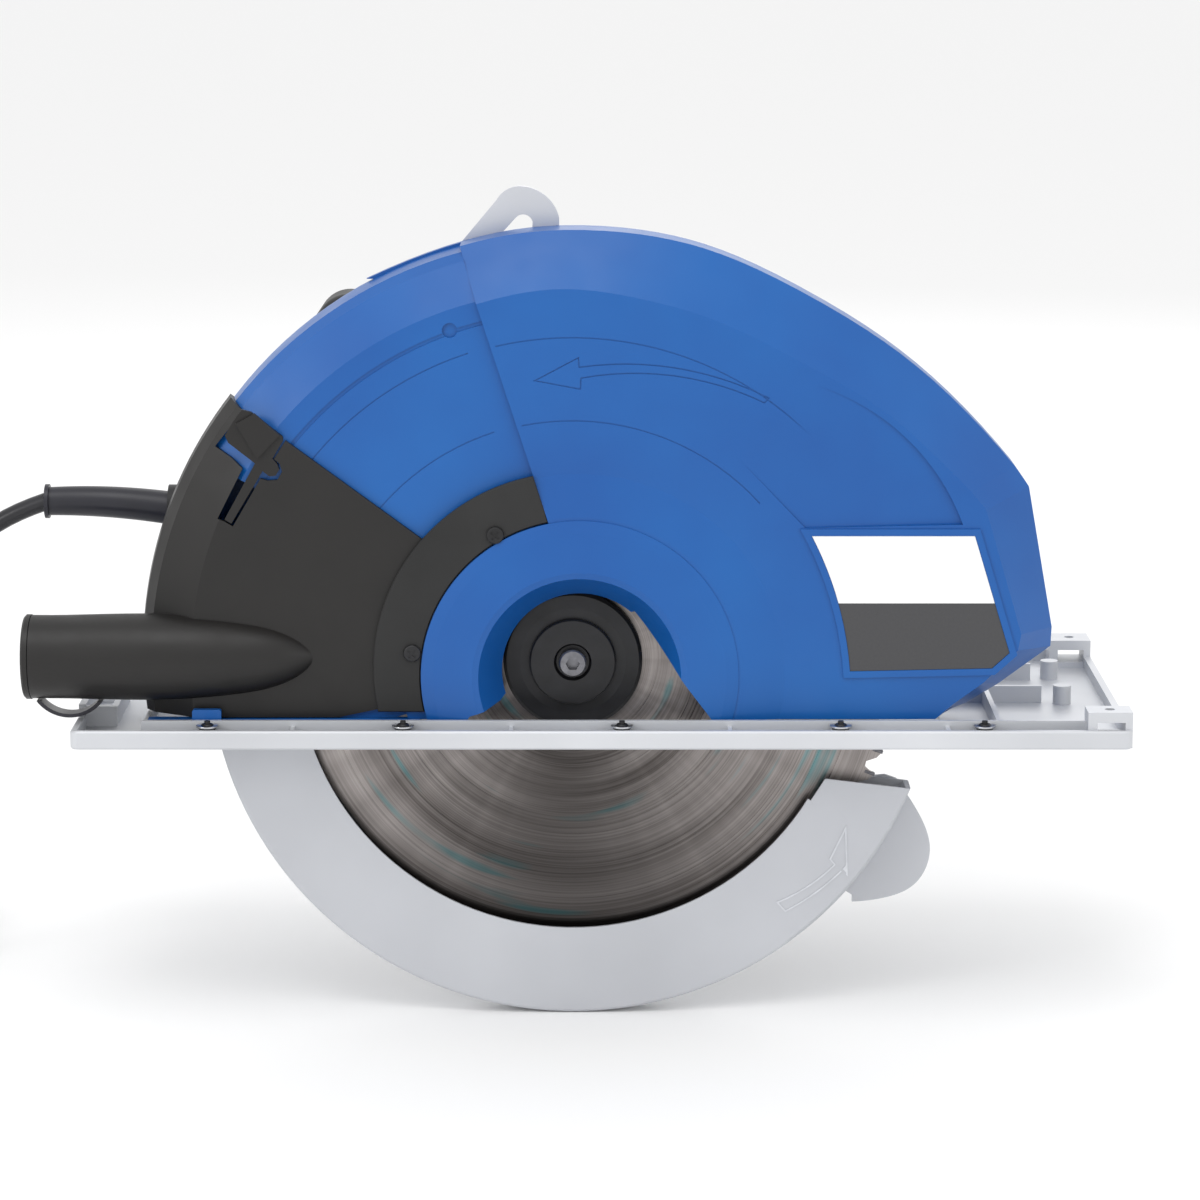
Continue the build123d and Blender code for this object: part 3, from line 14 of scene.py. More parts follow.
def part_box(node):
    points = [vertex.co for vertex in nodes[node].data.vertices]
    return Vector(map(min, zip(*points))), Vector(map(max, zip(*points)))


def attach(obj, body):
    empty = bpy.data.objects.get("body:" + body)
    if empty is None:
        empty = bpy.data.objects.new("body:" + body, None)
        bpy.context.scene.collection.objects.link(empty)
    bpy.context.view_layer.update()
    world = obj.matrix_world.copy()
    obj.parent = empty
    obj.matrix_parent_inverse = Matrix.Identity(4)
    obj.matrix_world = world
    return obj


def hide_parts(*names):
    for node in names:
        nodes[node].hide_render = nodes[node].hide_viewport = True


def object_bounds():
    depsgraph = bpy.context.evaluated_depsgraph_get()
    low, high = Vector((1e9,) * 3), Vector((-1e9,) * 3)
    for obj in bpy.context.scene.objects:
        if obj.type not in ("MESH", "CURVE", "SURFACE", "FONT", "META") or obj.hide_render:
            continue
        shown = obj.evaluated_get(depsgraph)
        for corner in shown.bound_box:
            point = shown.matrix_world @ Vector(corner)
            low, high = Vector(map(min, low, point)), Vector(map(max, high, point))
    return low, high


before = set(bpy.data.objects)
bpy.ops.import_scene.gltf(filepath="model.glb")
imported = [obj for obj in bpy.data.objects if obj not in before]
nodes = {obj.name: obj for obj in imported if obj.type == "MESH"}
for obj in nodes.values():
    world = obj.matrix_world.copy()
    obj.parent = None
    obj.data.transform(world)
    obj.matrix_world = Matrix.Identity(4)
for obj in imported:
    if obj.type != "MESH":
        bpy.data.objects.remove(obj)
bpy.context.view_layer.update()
MM = 0.001
bpy.ops.object.select_all(action="DESELECT")

# %% [markdown]
# ## Camera and room
# The saw is looked at through a long lens from a little above, so that the plate shows its near
# edge and a strip of its top. The room is a pale floor that runs into a pale background, with four
# soft lamps: a large one overhead, one from the front left for the moulded edges, a weaker one
# from the right, and one behind for the motor's side.

# %% Camera
bpy.ops.object.camera_add(location=(0.0133, -1.9451755, 0.44177938),
                          rotation=(math.radians(79), 0, 0))
camera = bpy.context.object
camera.name = "studio_camera"
camera.data.sensor_width = 36.0
camera.data.lens = 121.463
camera.data.clip_end = 50
bpy.context.scene.camera = camera
print("camera lens", camera.data.lens, "mm")

# %% Colours and nodes
def linear(hex_colour):
    """Turns an sRGB hex colour into the linear values that Blender works in."""
    parts = [int(hex_colour[i:i + 2], 16) / 255 for i in (1, 3, 5)]
    return [c / 12.92 if c <= 0.04045 else ((c + 0.055) / 1.055) ** 2.4 for c in parts] + [1.0]


def add(tree, kind, inputs=None, **settings):
    """Adds a node with its settings; an input is a value or another node's output."""
    made = tree.nodes.new("ShaderNode" + kind)
    for name, value in settings.items():
        setattr(made, name, value)
    for name, value in (inputs or {}).items():
        if isinstance(value, bpy.types.NodeSocket):
            tree.links.new(value, made.inputs[name])
        else:
            made.inputs[name].default_value = value
    return made


print("mid grey is", round(linear("#808080")[0], 3))

# %% Floor and lamps
FLOOR_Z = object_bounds()[0].z
bpy.ops.mesh.primitive_plane_add(size=60, location=(0, 0, FLOOR_Z - 0.0004))
floor = bpy.context.object
floor.name = "studio_floor"
paper = bpy.data.materials.new("matte_white_paper")
paper.use_nodes = True
paper_shader = paper.node_tree.nodes["Principled BSDF"]
paper_shader.inputs["Base Color"].default_value = linear("#f4f4f4")
paper_shader.inputs["Roughness"].default_value = 0.9
paper_shader.inputs["Specular IOR Level"].default_value = 0.1
floor.data.materials.append(paper)

room = bpy.data.worlds.new("studio_room")
bpy.context.scene.world = room
room.use_nodes = True
room.node_tree.nodes["Background"].inputs["Color"].default_value = linear("#ffffff")
room.node_tree.nodes["Background"].inputs["Strength"].default_value = 1.0

LAMPS = (("top_panel", (-0.3, -0.9, 2.0), (0, 0, 0.05), 1.2, 11),
         ("front_left_panel", (-1.7, -1.5, 1.0), (0, 0, 0.05), 0.7, 9),
         ("right_panel", (1.9, -1.0, 0.7), (0.05, 0, 0.05), 0.6, 3),
         ("back_panel", (0.4, 2.2, 1.4), (0, 0, 0.05), 1.4, 8))
for name, place, target, size, power in LAMPS:
    bpy.ops.object.light_add(type="AREA", location=place)
    lamp = bpy.context.object
    lamp.name = name
    lamp.data.shape = "SQUARE"
    lamp.data.size = size
    lamp.data.energy = power
    lamp.rotation_euler = (Vector(target) - Vector(place)).to_track_quat("-Z", "Y").to_euler()
bpy.context.scene.view_settings.view_transform = "Standard"
print("lamps", len(LAMPS), "floor at", round(FLOOR_Z, 4))

# %% [markdown]
# ## Starting a finish
# Every finish begins the same way: a Principled shader and the piece's own Object coordinates,
# which stay with the piece when its body moves. Two more helpers do what nearly all moulded and
# cast surfaces need: a cloudy change between two near shades, and a fine bump whose grain has a
# real size in millimetres.

# %% Helpers for finishes
def finish(name, roughness, metallic=0.0):
    """Starts a material: returns it, its tree, its shader and its coordinates."""
    made = bpy.data.materials.new(name)
    made.use_nodes = True
    tree = made.node_tree
    shader = tree.nodes["Principled BSDF"]
    shader.inputs["Roughness"].default_value = roughness
    shader.inputs["Metallic"].default_value = metallic
    place = add(tree, "TexCoord").outputs["Object"]
    return made, tree, shader, place


def cloudy(tree, shader, place, dark, light, patch_mm, detail=3.0):
    """Lets the colour drift between two near shades over patches of this size."""
    cloud = add(tree, "TexNoise", {"Vector": place, "Scale": 1000 / patch_mm, "Detail": detail})
    ramp = add(tree, "ValToRGB", {"Fac": cloud.outputs["Fac"]})
    ramp.color_ramp.elements[0].position, ramp.color_ramp.elements[1].position = 0.3, 0.7
    ramp.color_ramp.elements[0].color = linear(dark)
    ramp.color_ramp.elements[1].color = linear(light)
    tree.links.new(ramp.outputs["Color"], shader.inputs["Base Color"])
    return ramp.outputs["Color"]


def grained(tree, shader, place, grain_mm, height_mm, strength=0.4, spread=0.0):
    """Raises a fine grain, and lets the roughness drift with it if a spread is given."""
    grain = add(tree, "TexNoise", {"Vector": place, "Scale": 1000 / grain_mm, "Detail": 2.0})
    bump = add(tree, "Bump", {"Height": grain.outputs["Fac"], "Distance": height_mm * MM,
                              "Strength": strength})
    tree.links.new(bump.outputs["Normal"], shader.inputs["Normal"])
    if spread:
        middle = shader.inputs["Roughness"].default_value
        drift = add(tree, "TexNoise", {"Vector": place, "Scale": 1000 / (grain_mm * 30)})
        rough = add(tree, "MapRange", {"Value": drift.outputs["Fac"], "From Min": 0.3,
                                       "From Max": 0.7, "To Min": middle - spread,
                                       "To Max": middle + spread})
        tree.links.new(rough.outputs["Result"], shader.inputs["Roughness"])
    return grain


print("helpers ready")

# %% [markdown]
# ## Blue moulded guard
# The upper guard is a glass-filled nylon shell, moulded in blue. The mould is spark eroded, so the
# skin is satin with a very fine grain, and long soft flow shades show in the large face. The
# spindle shroud, the motor's case and the small clip come from the same plastic.

# %% Blue satin nylon
BLUE_DARK, BLUE_LIGHT = "#0a509a", "#0e5ba5"


def satin_nylon(name):
    made, tree, shader, place = finish(name, 0.36)
    shader.inputs["IOR"].default_value = 1.5
    shader.inputs["Specular IOR Level"].default_value = 0.42
    cloudy(tree, shader, place, BLUE_DARK, BLUE_LIGHT, 90)
    grained(tree, shader, place, 0.7, 0.03, 0.30, spread=0.05)
    return made


blue_nylon = satin_nylon("blue_satin_nylon")
print(blue_nylon.name)

# %% [markdown]
# ## Black moulded parts
# The chip door, its retainer, the tube's cap and the handles are black polypropylene from an
# etched mould. It isn't true black: it reads as a warm charcoal, with a broad dull sheen. The
# retainer has a coarser etch than the door, so the two read as separate pieces.

# %% Black plastics
def etched_black(name, dark, light, roughness, grain_mm):
    made, tree, shader, place = finish(name, roughness)
    shader.inputs["Specular IOR Level"].default_value = 0.4
    cloudy(tree, shader, place, dark, light, 60)
    grained(tree, shader, place, grain_mm, 0.06, 0.4, spread=0.06)
    return made


door_plastic = etched_black("fine_etched_polypropylene", "#171615", "#1d1b1a", 0.44, 0.6)
retainer_plastic = etched_black("coarse_etched_polypropylene", "#1c1c1c", "#262626", 0.6, 1.3)
handle_plastic = etched_black("handle_polypropylene", "#191919", "#212122", 0.52, 0.9)
motor_plastic = etched_black("motor_cap_nylon", "#1a1a1a", "#222222", 0.5, 0.8)
print("black plastics ready")

# %% [markdown]
# ## Soft rubber
# The cord's sheath, its bend sleeve and the cap's strap are PVC and rubber: a bluish black with a
# soft, slightly waxy shine. The sheath keeps a faint lengthwise drift from its extrusion.

# %% Rubber
def soft_rubber(name, dark, light, roughness):
    made, tree, shader, place = finish(name, roughness)
    shader.inputs["Specular IOR Level"].default_value = 0.5
    cloudy(tree, shader, place, dark, light, 25)
    grained(tree, shader, place, 1.6, 0.05, 0.25, spread=0.06)
    return made


sleeve_rubber = soft_rubber("navy_black_rubber", "#14141d", "#1c1c27", 0.40)
sheath = soft_rubber("cord_sheath_pvc", "#15151a", "#1c1c22", 0.36)
print("rubber ready")

# %% [markdown]
# ## Ground blade steel
# A saw blade's faces are ground while it turns, so its scratches are circles about the bore. The
# pattern is made in polar form: the distance from the bore drives the fine rings, and the angle
# round it breaks them into arcs. An image could hold the same rings, but it would blur close up.

# %% Distance and angle about the axle
AXLE = Vector((0, 0, 0.035))
blade_steel, steel, steel_shader, steel_place = finish("circle_ground_steel", 0.34, metallic=1.0)
centred = add(steel, "Mapping", {"Vector": steel_place, "Location": [-c for c in AXLE]})
flat = add(steel, "VectorMath", {0: centred.outputs["Vector"], 1: (1, 0, 1)}, operation="MULTIPLY")
radius = add(steel, "VectorMath", {0: flat.outputs["Vector"]}, operation="LENGTH")
split = add(steel, "SeparateXYZ", {"Vector": flat.outputs["Vector"]})
turn = add(steel, "Math", {0: split.outputs["Z"], 1: split.outputs["X"]}, operation="ARCTAN2")
print("rings centred on", [round(c, 4) for c in AXLE])

# %% Fine rings and broad bands
# one ring every 0.9 mm is coarser than real grinding, so that the rings show
RING_MM, BAND_MM, ARC_RATE = 0.9, 14, 0.55
around = add(steel, "Math", {0: turn.outputs["Value"], 1: ARC_RATE}, operation="MULTIPLY")
across = add(steel, "Math", {0: radius.outputs["Value"], 1: 1000 / RING_MM}, operation="MULTIPLY")
polar = add(steel, "CombineXYZ", {"X": across.outputs["Value"], "Y": around.outputs["Value"]})
rings = add(steel, "TexNoise", {"Vector": polar.outputs["Vector"], "Scale": 1.0, "Detail": 3.0})
wide = add(steel, "Math", {0: radius.outputs["Value"], 1: 1000 / BAND_MM}, operation="MULTIPLY")
band_place = add(steel, "CombineXYZ", {"X": wide.outputs["Value"], "Y": around.outputs["Value"]})
bands = add(steel, "TexNoise", {"Vector": band_place.outputs["Vector"], "Scale": 1.0})
both = add(steel, "Math", {0: rings.outputs["Fac"], 1: bands.outputs["Fac"]}, operation="ADD")
tone = add(steel, "Math", {0: both.outputs["Value"], 1: 0.5}, operation="MULTIPLY")
ramp = add(steel, "ValToRGB", {"Fac": tone.outputs["Value"]})
ramp.color_ramp.elements[0].position, ramp.color_ramp.elements[1].position = 0.3, 0.7
ramp.color_ramp.elements[0].color = linear("#383432")
ramp.color_ramp.elements[1].color = linear("#7f7a78")
print("a ring every", RING_MM, "mm and a band every", BAND_MM, "mm")

# %% Teal heat tint
# heat and coolant leave narrow teal rings, present only along part of the circle
TINT_MM, TINT_RATE = 6, 1.3
tint_reach = add(steel, "Math", {0: radius.outputs["Value"], 1: 1000 / TINT_MM},
                 operation="MULTIPLY")
tint_turn = add(steel, "Math", {0: turn.outputs["Value"], 1: TINT_RATE}, operation="MULTIPLY")
tint_place = add(steel, "CombineXYZ", {"X": tint_reach.outputs["Value"],
                                       "Y": tint_turn.outputs["Value"], "Z": 4.0})
tint = add(steel, "TexNoise", {"Vector": tint_place.outputs["Vector"], "Scale": 1.0,
                               "Detail": 1.0})
share = add(steel, "MapRange", {"Value": tint.outputs["Fac"], "From Min": 0.62, "From Max": 0.72,
                                "To Max": 0.55})
tinted = add(steel, "Mix", {0: share.outputs["Result"], 6: ramp.outputs["Color"],
                            7: linear("#2f6266")}, data_type="RGBA")
print("tint rings", TINT_MM, "mm wide")

# %% Two painted highlight fans
# painted highlight: two fans of light are painted into the blade's base colour, one to each side of
# the bore, so they turn with the blade: a squared cosine of the angle, unsettled by a slow noise
# that varies only round the circle
PAINTED_FAN_ANGLE, SPOKES = -0.05, 9.0
fan = add(steel, "Math", {0: turn.outputs["Value"], 1: PAINTED_FAN_ANGLE}, operation="SUBTRACT")
lobe = add(steel, "Math", {0: fan.outputs["Value"]}, operation="COSINE")
square = add(steel, "Math", {0: lobe.outputs["Value"], 1: lobe.outputs["Value"]},
             operation="MULTIPLY")
spokes = add(steel, "Math", {0: turn.outputs["Value"], 1: SPOKES}, operation="MULTIPLY")
spoke_noise = add(steel, "TexNoise", {"W": spokes.outputs["Value"], "Scale": 1.0, "Detail": 1.0},
                  noise_dimensions="1D")
soft = add(steel, "MapRange", {"Value": spoke_noise.outputs["Fac"], "To Min": 0.6, "To Max": 1.2})
painted_highlight_shimmer = add(steel, "Math", {0: square.outputs["Value"], 1: soft.outputs["Result"]},
              operation="MULTIPLY")
painted_highlight_gain = add(steel, "MapRange", {"Value": painted_highlight_shimmer.outputs["Value"], "From Max": 0.9,
                               "To Min": 0.6, "To Max": 2.5})
# the base colour is scaled up inside the fans: a painted highlight, not a reflection
painted_highlight_colour = add(steel, "VectorMath", {0: tinted.outputs[2], "Scale": painted_highlight_gain.outputs["Result"]},
             operation="SCALE")
steel.links.new(painted_highlight_colour.outputs["Vector"], steel_shader.inputs["Base Color"])
print("fans at", round(math.degrees(PAINTED_FAN_ANGLE), 1), "degrees and opposite")

# %% [markdown]
# ## How the ground face takes light
# Fine circular scratches stretch a highlight across themselves. The shader's anisotropy does this,
# with a tangent that runs round the blade's axis, and the rings drive the roughness and a very low
# bump, so that the sheen is broken up as it is on a real disc.

# %% Roughness, bump and tangent
rough = add(steel, "MapRange", {"Value": rings.outputs["Fac"], "From Min": 0.3, "From Max": 0.7,
                                "To Min": 0.26, "To Max": 0.44})
steel.links.new(rough.outputs["Result"], steel_shader.inputs["Roughness"])
scratches = add(steel, "Bump", {"Height": rings.outputs["Fac"], "Distance": 0.05 * MM,
                                "Strength": 0.35})
steel.links.new(scratches.outputs["Normal"], steel_shader.inputs["Normal"])
steel_shader.inputs["Anisotropic"].default_value = 0.75
swirl = add(steel, "Tangent", direction_type="RADIAL", axis="Y")
steel.links.new(swirl.outputs["Tangent"], steel_shader.inputs["Tangent"])
print("blade steel has", len(steel.nodes), "nodes")

# %% [markdown]
# ## Silver painted sheet and castings
# The lower guard is pressed sheet with a silver-grey powder coat: fine flakes in a satin clear
# layer. The sole is a die casting, bead blasted, so it is paler and more even, with a soft sandy
# grain and slightly darker pits.

# %% Silver paint and cast aluminium
def silver_coat(name, dark, light, metallic, roughness, grain_mm):
    made, tree, shader, place = finish(name, roughness, metallic)
    cloudy(tree, shader, place, dark, light, 120)
    grained(tree, shader, place, grain_mm, 0.05, 0.35, spread=0.04)
    return made


guard_paint = silver_coat("silver_powder_coat", "#b4b6bb", "#c1c3c8", 0.25, 0.48, 0.7)
sole_casting = silver_coat("bead_blasted_casting", "#c0c2c6", "#cfd1d5", 0.3, 0.42, 0.9)
gearbox_casting = silver_coat("gearbox_casting", "#8e9196", "#9da0a5", 0.6, 0.5, 1.2)
eye_steel = silver_coat("zinc_plated_sheet", "#c3c5ca", "#d7d9de", 0.7, 0.32, 0.5)
print("silver finishes ready")

# %% [markdown]
# ## Steels, copper and carbon
# Screws are zinc plated, and the blade's bolt is phosphated to a dark grey. The flange is blackened
# by an oxide bath that leaves an oily half shine, and the shafts and gears are bare turned steel.
# The motor's wire is copper under a thin amber enamel, and its brushes are pressed carbon.

# %% Metals inside and out
def bare_metal(name, dark, light, roughness, patch_mm):
    made, tree, shader, place = finish(name, roughness, metallic=1.0)
    cloudy(tree, shader, place, dark, light, patch_mm)
    grained(tree, shader, place, 0.8, 0.02, 0.25, spread=0.05)
    return made


zinc = bare_metal("zinc_plated_steel", "#a8a9ac", "#c6c7ca", 0.28, 6)
phosphated_steel = bare_metal("phosphated_steel", "#6a6a6e", "#85858a", 0.36, 5)
turned_steel = bare_metal("turned_steel", "#8c8d90", "#a9aaad", 0.3, 4)
enamelled_copper = bare_metal("enamelled_copper", "#8a4a26", "#b4673a", 0.34, 2)
carbide = bare_metal("brazed_carbide", "#5f5f63", "#77777b", 0.36, 1)
black_oxide, oxide_tree, oxide_shader, oxide_place = finish("black_oxide_steel", 0.42, 0.2)
cloudy(oxide_tree, oxide_shader, oxide_place, "#161618", "#212124", 12)
grained(oxide_tree, oxide_shader, oxide_place, 0.9, 0.04, 0.4, spread=0.08)
pressed_carbon, carbon_tree, carbon_shader, carbon_place = finish("pressed_carbon", 0.7)
cloudy(carbon_tree, carbon_shader, carbon_place, "#202020", "#2c2c2c", 2)
print("metals ready")

# %% [markdown]
# ## Printed label
# The plate on the guard is a printed foil: white above, charcoal below, with a sharp level
# division. It carries no lettering here. The height of the division is a step on the Z coordinate,
# and the foil's clear layer gives it a mild gloss.

# %% Two-tone foil and relief paint
LABEL_DIVISION = 0.0674
foil, foil_tree, foil_shader, foil_place = finish("printed_foil", 0.32)
foil_height = add(foil_tree, "SeparateXYZ", {"Vector": foil_place})
above = add(foil_tree, "Math", {0: foil_height.outputs["Z"], 1: LABEL_DIVISION},
            operation="GREATER_THAN")
speckle = add(foil_tree, "TexNoise", {"Vector": foil_place, "Scale": 1000 / 1.2})
charcoal = add(foil_tree, "Mix", {0: speckle.outputs["Fac"], 6: linear("#3a3a3c"),
                                  7: linear("#434345")}, data_type="RGBA")
white = add(foil_tree, "Mix", {0: speckle.outputs["Fac"], 6: linear("#f2f2f2"),
                               7: linear("#f8f8f8")}, data_type="RGBA")
two_tone = add(foil_tree, "Mix", {0: above.outputs["Value"], 6: charcoal.outputs[2],
                                  7: white.outputs[2]}, data_type="RGBA")
foil_tree.links.new(two_tone.outputs[2], foil_shader.inputs["Base Color"])
relief_paint, relief_tree, relief_shader, relief_place = finish("worn_relief_paint", 0.4, 0.2)
cloudy(relief_tree, relief_shader, relief_place, "#c3c5ca", "#d3d5da", 4)
print("label division at", LABEL_DIVISION)

# %% [markdown]
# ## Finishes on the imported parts
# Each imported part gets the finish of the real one. The part's slot is replaced, never its mesh.

# %% Give every part its finish
FINISHES = {
    blue_nylon: ["front_cover", "spindle_shroud", "back_case", "motor_housing", "door_clip"],
    door_plastic: ["chip_door", "door_latch", "outlet_cap"],
    retainer_plastic: ["door_retainer"],
    handle_plastic: ["handle_near", "handle_far", "front_handle", "trigger", "lock_off_button",
                     "switch_body"],
    motor_plastic: ["motor_end_cap", "brush_caps", "brush_holders", "cooling_fan"],
    sleeve_rubber: ["strain_relief", "cap_strap", "plug"],
    sheath: ["cord", "cord_coil"],
    blade_steel: ["blade"],
    guard_paint: ["lower_guard", "guard_fin"],
    eye_steel: ["lifting_eye"],
    sole_casting: ["base_plate"],
    gearbox_casting: ["gear_housing", "bearing_plate"],
    black_oxide: ["inner_flange", "outer_flange", "sole_studs", "retainer_screws"],
    zinc: ["base_bolts", "cover_screws", "eye_bolts", "gearbox_screws", "end_cap_screws",
           "handle_screws", "guard_retainer", "guard_spring", "front_handle_bolt",
           "plug_pins", "spindle_lock"],
    phosphated_steel: ["blade_bolt"],
    turned_steel: ["spindle", "spindle_gear", "layshaft", "armature_shaft", "armature_core",
                   "stator", "bearings"],
    enamelled_copper: ["armature_windings", "field_coils", "commutator"],
    pressed_carbon: ["carbon_brushes"],
    foil: ["rating_label"],
    relief_paint: ["guard_arrow"],
}
for material, names in FINISHES.items():
    for name in names:
        for slot in nodes[name].material_slots:
            slot.material = material
bare = set(nodes) - {name for names in FINISHES.values() for name in names}
print("finished", len(nodes) - len(bare), "left bare", sorted(bare))

# %% [markdown]
# ## Cross-head screws
# The retainer is held by two pan-head screws. Each head is a low dome with a cross recess: a short
# cylinder whose front edge is bevelled, less two crossed bars that a Boolean modifier takes away.
# The same function builds each of the two heads, each at its own spot.

# %% Pan-head screws
RETAINER_SPOTS = ((-0.0371, -0.0300, 0.1013), (-0.0775, -0.0300, 0.0434))
HEAD_R, HEAD_HEIGHT = 4.2 * MM, 2.0 * MM
# degrees by which the two bars of the cross are turned
RECESS_TURNS = (38, 128)


def settle(piece, name, material, body):
    """Puts a finished piece's place into its mesh, and gives it its finish and body."""
    bpy.ops.object.select_all(action="DESELECT")
    piece.select_set(True)
    bpy.context.view_layer.objects.active = piece
    bpy.ops.object.transform_apply(location=True, rotation=True, scale=True)
    piece.name = name
    piece.data.materials.clear()
    piece.data.materials.append(material)
    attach(piece, body)
    return piece


def select_faces(piece, test):
    """Selects in edit mode the faces whose centre and normal pass a test."""
    bpy.ops.object.mode_set(mode="OBJECT")
    for part in (piece.data.vertices, piece.data.edges, piece.data.polygons):
        part.foreach_set("select", [False] * len(part))
    for face in piece.data.polygons:
        face.select = test(face.center, face.normal)
    bpy.ops.object.mode_set(mode="EDIT")
    bpy.ops.mesh.select_mode(type="FACE")


def cut(piece, tool):
    """Takes a tool's shape out of a piece, and removes the tool."""
    taking = piece.modifiers.new("recess", "BOOLEAN")
    taking.operation, taking.object, taking.solver = "DIFFERENCE", tool, "EXACT"
    bpy.ops.object.select_all(action="DESELECT")
    piece.select_set(True)
    bpy.context.view_layer.objects.active = piece
    bpy.ops.object.modifier_apply(modifier="recess")
    bpy.data.objects.remove(tool)


def pan_head(spot, head_r, height, name, material, body):
    """A pan head that faces -Y, seated on the surface at spot."""
    bpy.ops.mesh.primitive_cylinder_add(vertices=40, radius=head_r, depth=height,
                                        location=(spot[0], spot[1] - height / 2, spot[2]),
                                        rotation=(math.radians(90), 0, 0))
    head = bpy.context.object
    bpy.ops.object.transform_apply(location=False, rotation=True, scale=False)
    select_faces(head, lambda centre, normal: normal.y < -0.9)
    bpy.ops.mesh.bevel(offset=height * 0.55, segments=4, profile=0.6)
    bpy.ops.object.mode_set(mode="OBJECT")
    for turn in RECESS_TURNS:
        bpy.ops.mesh.primitive_cube_add(size=1, location=(spot[0], spot[1] - height, spot[2]),
                                        rotation=(0, math.radians(turn), 0),
                                        scale=(head_r * 1.15, height * 1.1, head_r * 0.26))
        cut(head, bpy.context.object)
    bpy.ops.object.select_all(action="DESELECT")
    head.select_set(True)
    bpy.context.view_layer.objects.active = head
    bpy.ops.object.shade_smooth_by_angle(angle=math.radians(35))
    return settle(head, name, material, body)


for count, spot in enumerate(RETAINER_SPOTS):
    head = pan_head(spot, HEAD_R, HEAD_HEIGHT, f"retainer_screw_head_{count + 1}", black_oxide,
                    "housing")
    print(head.name, len(head.data.polygons), "faces")

# %% [markdown]
# ## Washers on the sole's studs
# Each stud along the plate's near side has a round flange, and a wider bright washer lies on it,
# under the stud's dark top. A washer is a thin ring with broken edges: a cylinder with no caps,
# given its width by a Solidify modifier, with a Bevel modifier after it.

# %% Bright washers
WASHER_R, WASHER_WIDTH, WASHER_T = 5.4 * MM, 3.1 * MM, 0.9 * MM
STUD_TOP_TO_FLANGE = 3.0 * MM
STUD_GAP = 10 * MM
# the studs are one mesh, so a gap in X longer than this starts the next stud
groups = []
for x in sorted(vertex.co.x for vertex in nodes["sole_studs"].data.vertices):
    if not groups or x - groups[-1][-1] > STUD_GAP:
        groups.append([])
    groups[-1].append(x)
stud_low, stud_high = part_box("sole_studs")
stud_y = (stud_low.y + stud_high.y) / 2
washer_z = stud_high.z - STUD_TOP_TO_FLANGE + WASHER_T / 2
for count, group in enumerate(groups):
    centre = (group[0] + group[-1]) / 2
    bpy.ops.mesh.primitive_cylinder_add(vertices=40, radius=WASHER_R, depth=WASHER_T,
                                        end_fill_type="NOTHING",
                                        location=(centre, stud_y, washer_z))
    washer = bpy.context.object
    wall = washer.modifiers.new("wall", "SOLIDIFY")
    wall.thickness, wall.offset = WASHER_WIDTH, -1
    edges = washer.modifiers.new("edges", "BEVEL")
    edges.width, edges.segments = 0.15 * MM, 2
    for name in ("wall", "edges"):
        bpy.ops.object.modifier_apply(modifier=name)
    settle(washer, f"stud_washer_{count + 1}", zinc, "housing")
print("washers", len(groups), "at Y", round(stud_y, 4))

# %% [markdown]
# ## Carbide tips
# Every tooth carries a small brazed plate of carbide that stands a little proud of the steel on
# both sides, so that the kerf is wider than the disc. One tip is a tapered block with broken
# edges, and a loop copies it round the blade, one tooth pitch at a time.

# %% Tips round the blade
TEETH = 84
TIP = Vector((1.6, 3.0, 5.2)) * MM
BLADE_R = 0.160
TIP_LEAD, TIP_SET = 0.5 * MM, 0.1 * MM
bpy.ops.mesh.primitive_cube_add(size=1, location=(0, 0, 0), scale=TIP)
first_tip = bpy.context.object
bpy.ops.object.transform_apply(location=False, rotation=False, scale=True)
select_faces(first_tip, lambda centre, normal: normal.z < -0.9)
bpy.ops.transform.resize(value=(1, 0.8, 1))
bpy.ops.mesh.select_all(action="SELECT")
bpy.ops.mesh.bevel(offset=0.15 * MM, segments=1)
bpy.ops.object.mode_set(mode="OBJECT")
copies = []
for tooth in range(TEETH):
    tip = first_tip.copy()
    tip.data = first_tip.data.copy()
    bpy.context.scene.collection.objects.link(tip)
    # the tip sits just ahead of the tooth's leading flank, with its top on the blade's circle
    place = Matrix.Translation((TIP_LEAD, 0, BLADE_R - TIP.z / 2 - TIP_SET))
    turn = Matrix.Rotation(math.radians(90 + tooth * 360 / TEETH), 4, "Y")
    tip.matrix_world = Matrix.Translation(AXLE) @ turn @ place
    copies.append(tip)
bpy.data.objects.remove(first_tip)
bpy.ops.object.select_all(action="DESELECT")
for tip in copies:
    tip.select_set(True)
bpy.context.view_layer.objects.active = copies[0]
bpy.ops.object.transform_apply(location=True, rotation=True, scale=True)
bpy.ops.object.join()
tips = settle(bpy.context.object, "carbide_tips", carbide, "blade_set")
print("tips", TEETH, "faces", len(tips.data.polygons))

# %% [markdown]
# ## Mains cord
# The cord leaves the bent rubber sleeve behind the handle, sags under its own weight to the floor,
# and the length that isn't in use is wound into a neat round coil of three columns and four
# layers, with its plug on top. One NURBS curve carries it all: the listed points of the free
# stretch come first, and a loop adds sixteen points for each turn.

# %% Cord route
CORD_R = 4.5 * MM
ROUTE = [(-0.265, 0.060, 0.1024), (-0.287, 0.060, 0.095), (-0.312, 0.0605, 0.073),
         (-0.325, 0.061, 0.035), (-0.329, 0.0615, -0.012), (-0.330, 0.062, -0.062),
         (-0.336, 0.0623, -0.097), (-0.352, 0.0628, -0.123), (-0.378, 0.0634, -0.1374)]
COIL_AT = (-0.400, 0.125)
FLOOR_LAYER = -0.143 + CORD_R
COLUMNS = (0.061, 0.052, 0.043)
LAYERS, TURNS, STEPS = 4, 11, 16
# the last turn stops here, where the rise to the plug takes over
LAST_TURN_SHARE = 0.74
# a quadratic curve cuts inside its points a little, so they stand this much further out
OUTSET = 1.012


def eased(part):
    """Rises from 0 to 1 over the last third of a turn."""
    part = max(0.0, (part - 0.66) / 0.34)
    return part * part * (3 - 2 * part)


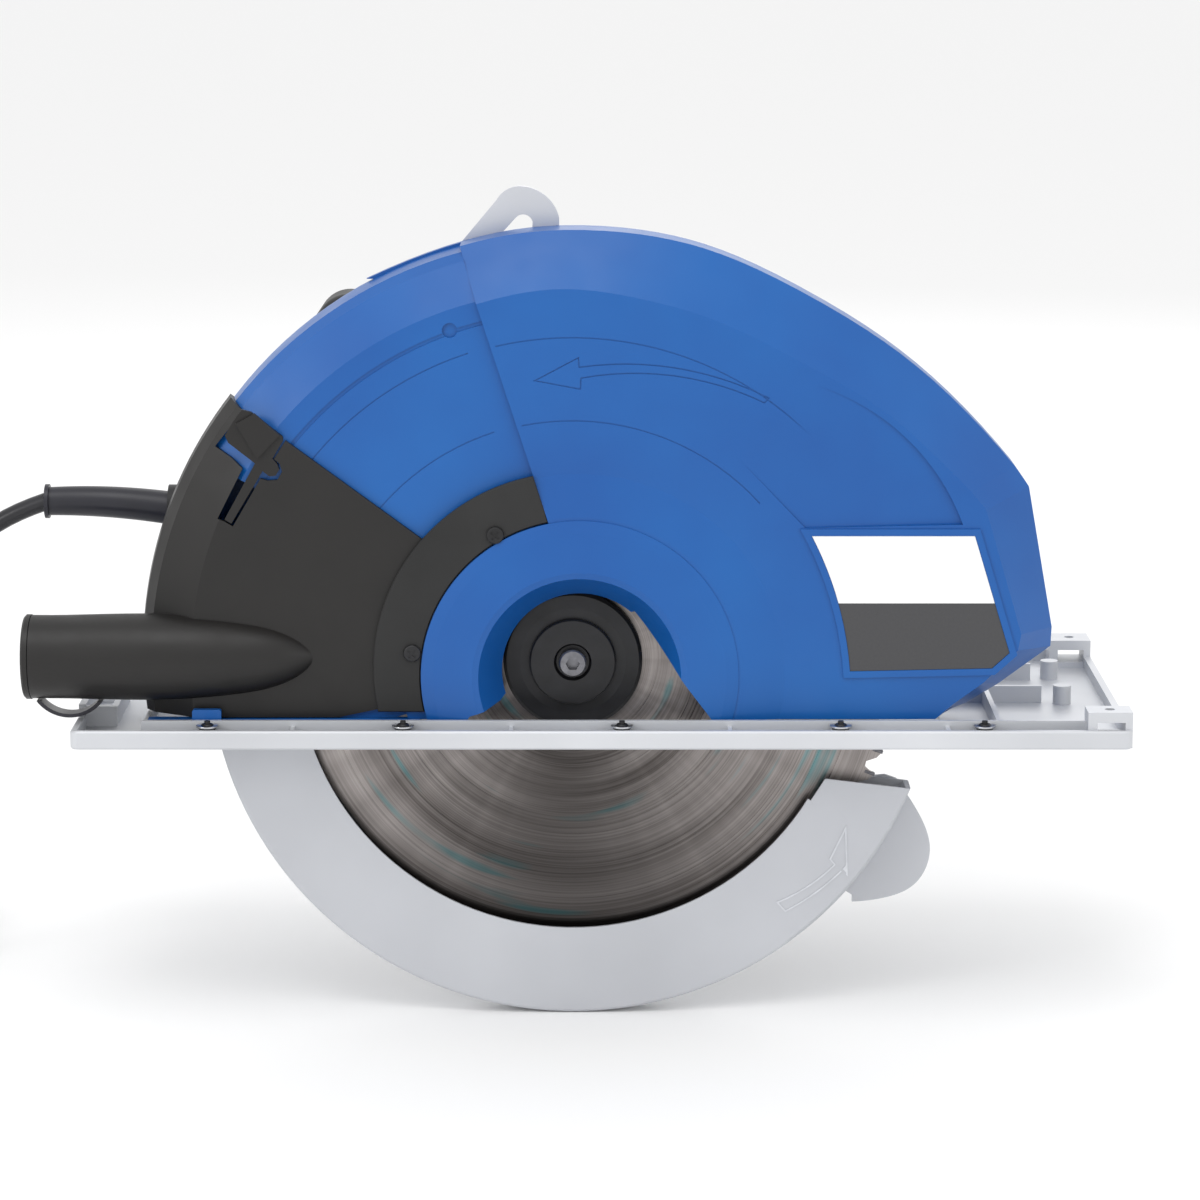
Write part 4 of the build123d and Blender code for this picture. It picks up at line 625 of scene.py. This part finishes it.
turns = []
for layer in range(LAYERS):
    order = COLUMNS if layer % 2 == 0 else COLUMNS[::-1]
    for column in range(len(order)):
        last = column == len(order) - 1
        turns.append((layer, order[column], order[column] if last else order[column + 1],
                      layer + 1 if last else layer))
points = list(ROUTE)
for count, (layer, radius, next_radius, next_layer) in enumerate(turns[:TURNS]):
    last_turn = count == TURNS - 1
    for step in range(STEPS):
        part = step / STEPS
        if last_turn and part > LAST_TURN_SHARE:
            break
        shift = 0.0 if last_turn else eased(part)
        reach = (radius + (next_radius - radius) * shift) * OUTSET
        angle = math.radians(-90 - 360 * part)
        points.append((COIL_AT[0] + reach * math.cos(angle), COIL_AT[1] + reach * math.sin(angle),
                       FLOOR_LAYER + 2 * CORD_R * (layer + (next_layer - layer) * shift)))
print("cord points", len(points))

# %% Cord curve
PLUG_TAIL = Vector((-0.384, 0.073, -0.0874))
RISE_R = 0.0533
# degrees round the coil, and the share of the climb to the plug that is done there
RISE = ((4, 0.02), (-14, 0.16), (-32, 0.48), (-50, 0.83), (-66, 0.99))
last_z = points[-1][2]
for degrees, share in RISE:
    angle = math.radians(degrees)
    points.append((COIL_AT[0] + RISE_R * math.cos(angle), COIL_AT[1] + RISE_R * math.sin(angle),
                   last_z + (PLUG_TAIL.z - last_z) * share))
points.append(tuple(PLUG_TAIL))
print("last bend before the plug has a radius of about", round(RISE_R / MM), "mm in plan")
cord_line = bpy.data.curves.new("mains_cord", "CURVE")
cord_line.dimensions = "3D"
cord_line.bevel_depth = CORD_R
cord_line.bevel_resolution = 5
cord_line.resolution_u = 6
cord_line.use_fill_caps = True
spline = cord_line.splines.new("NURBS")
spline.points.add(len(points) - 1)
for point, place in zip(spline.points, points):
    point.co = (*place, 1.0)
spline.order_u = 3
spline.use_endpoint_u = True
mains_cord = bpy.data.objects.new("mains_cord", cord_line)
bpy.context.scene.collection.objects.link(mains_cord)
cord_line.materials.append(sheath)
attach(mains_cord, "housing")
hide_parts("cord", "cord_coil")
print("cord curve with", len(points), "points")
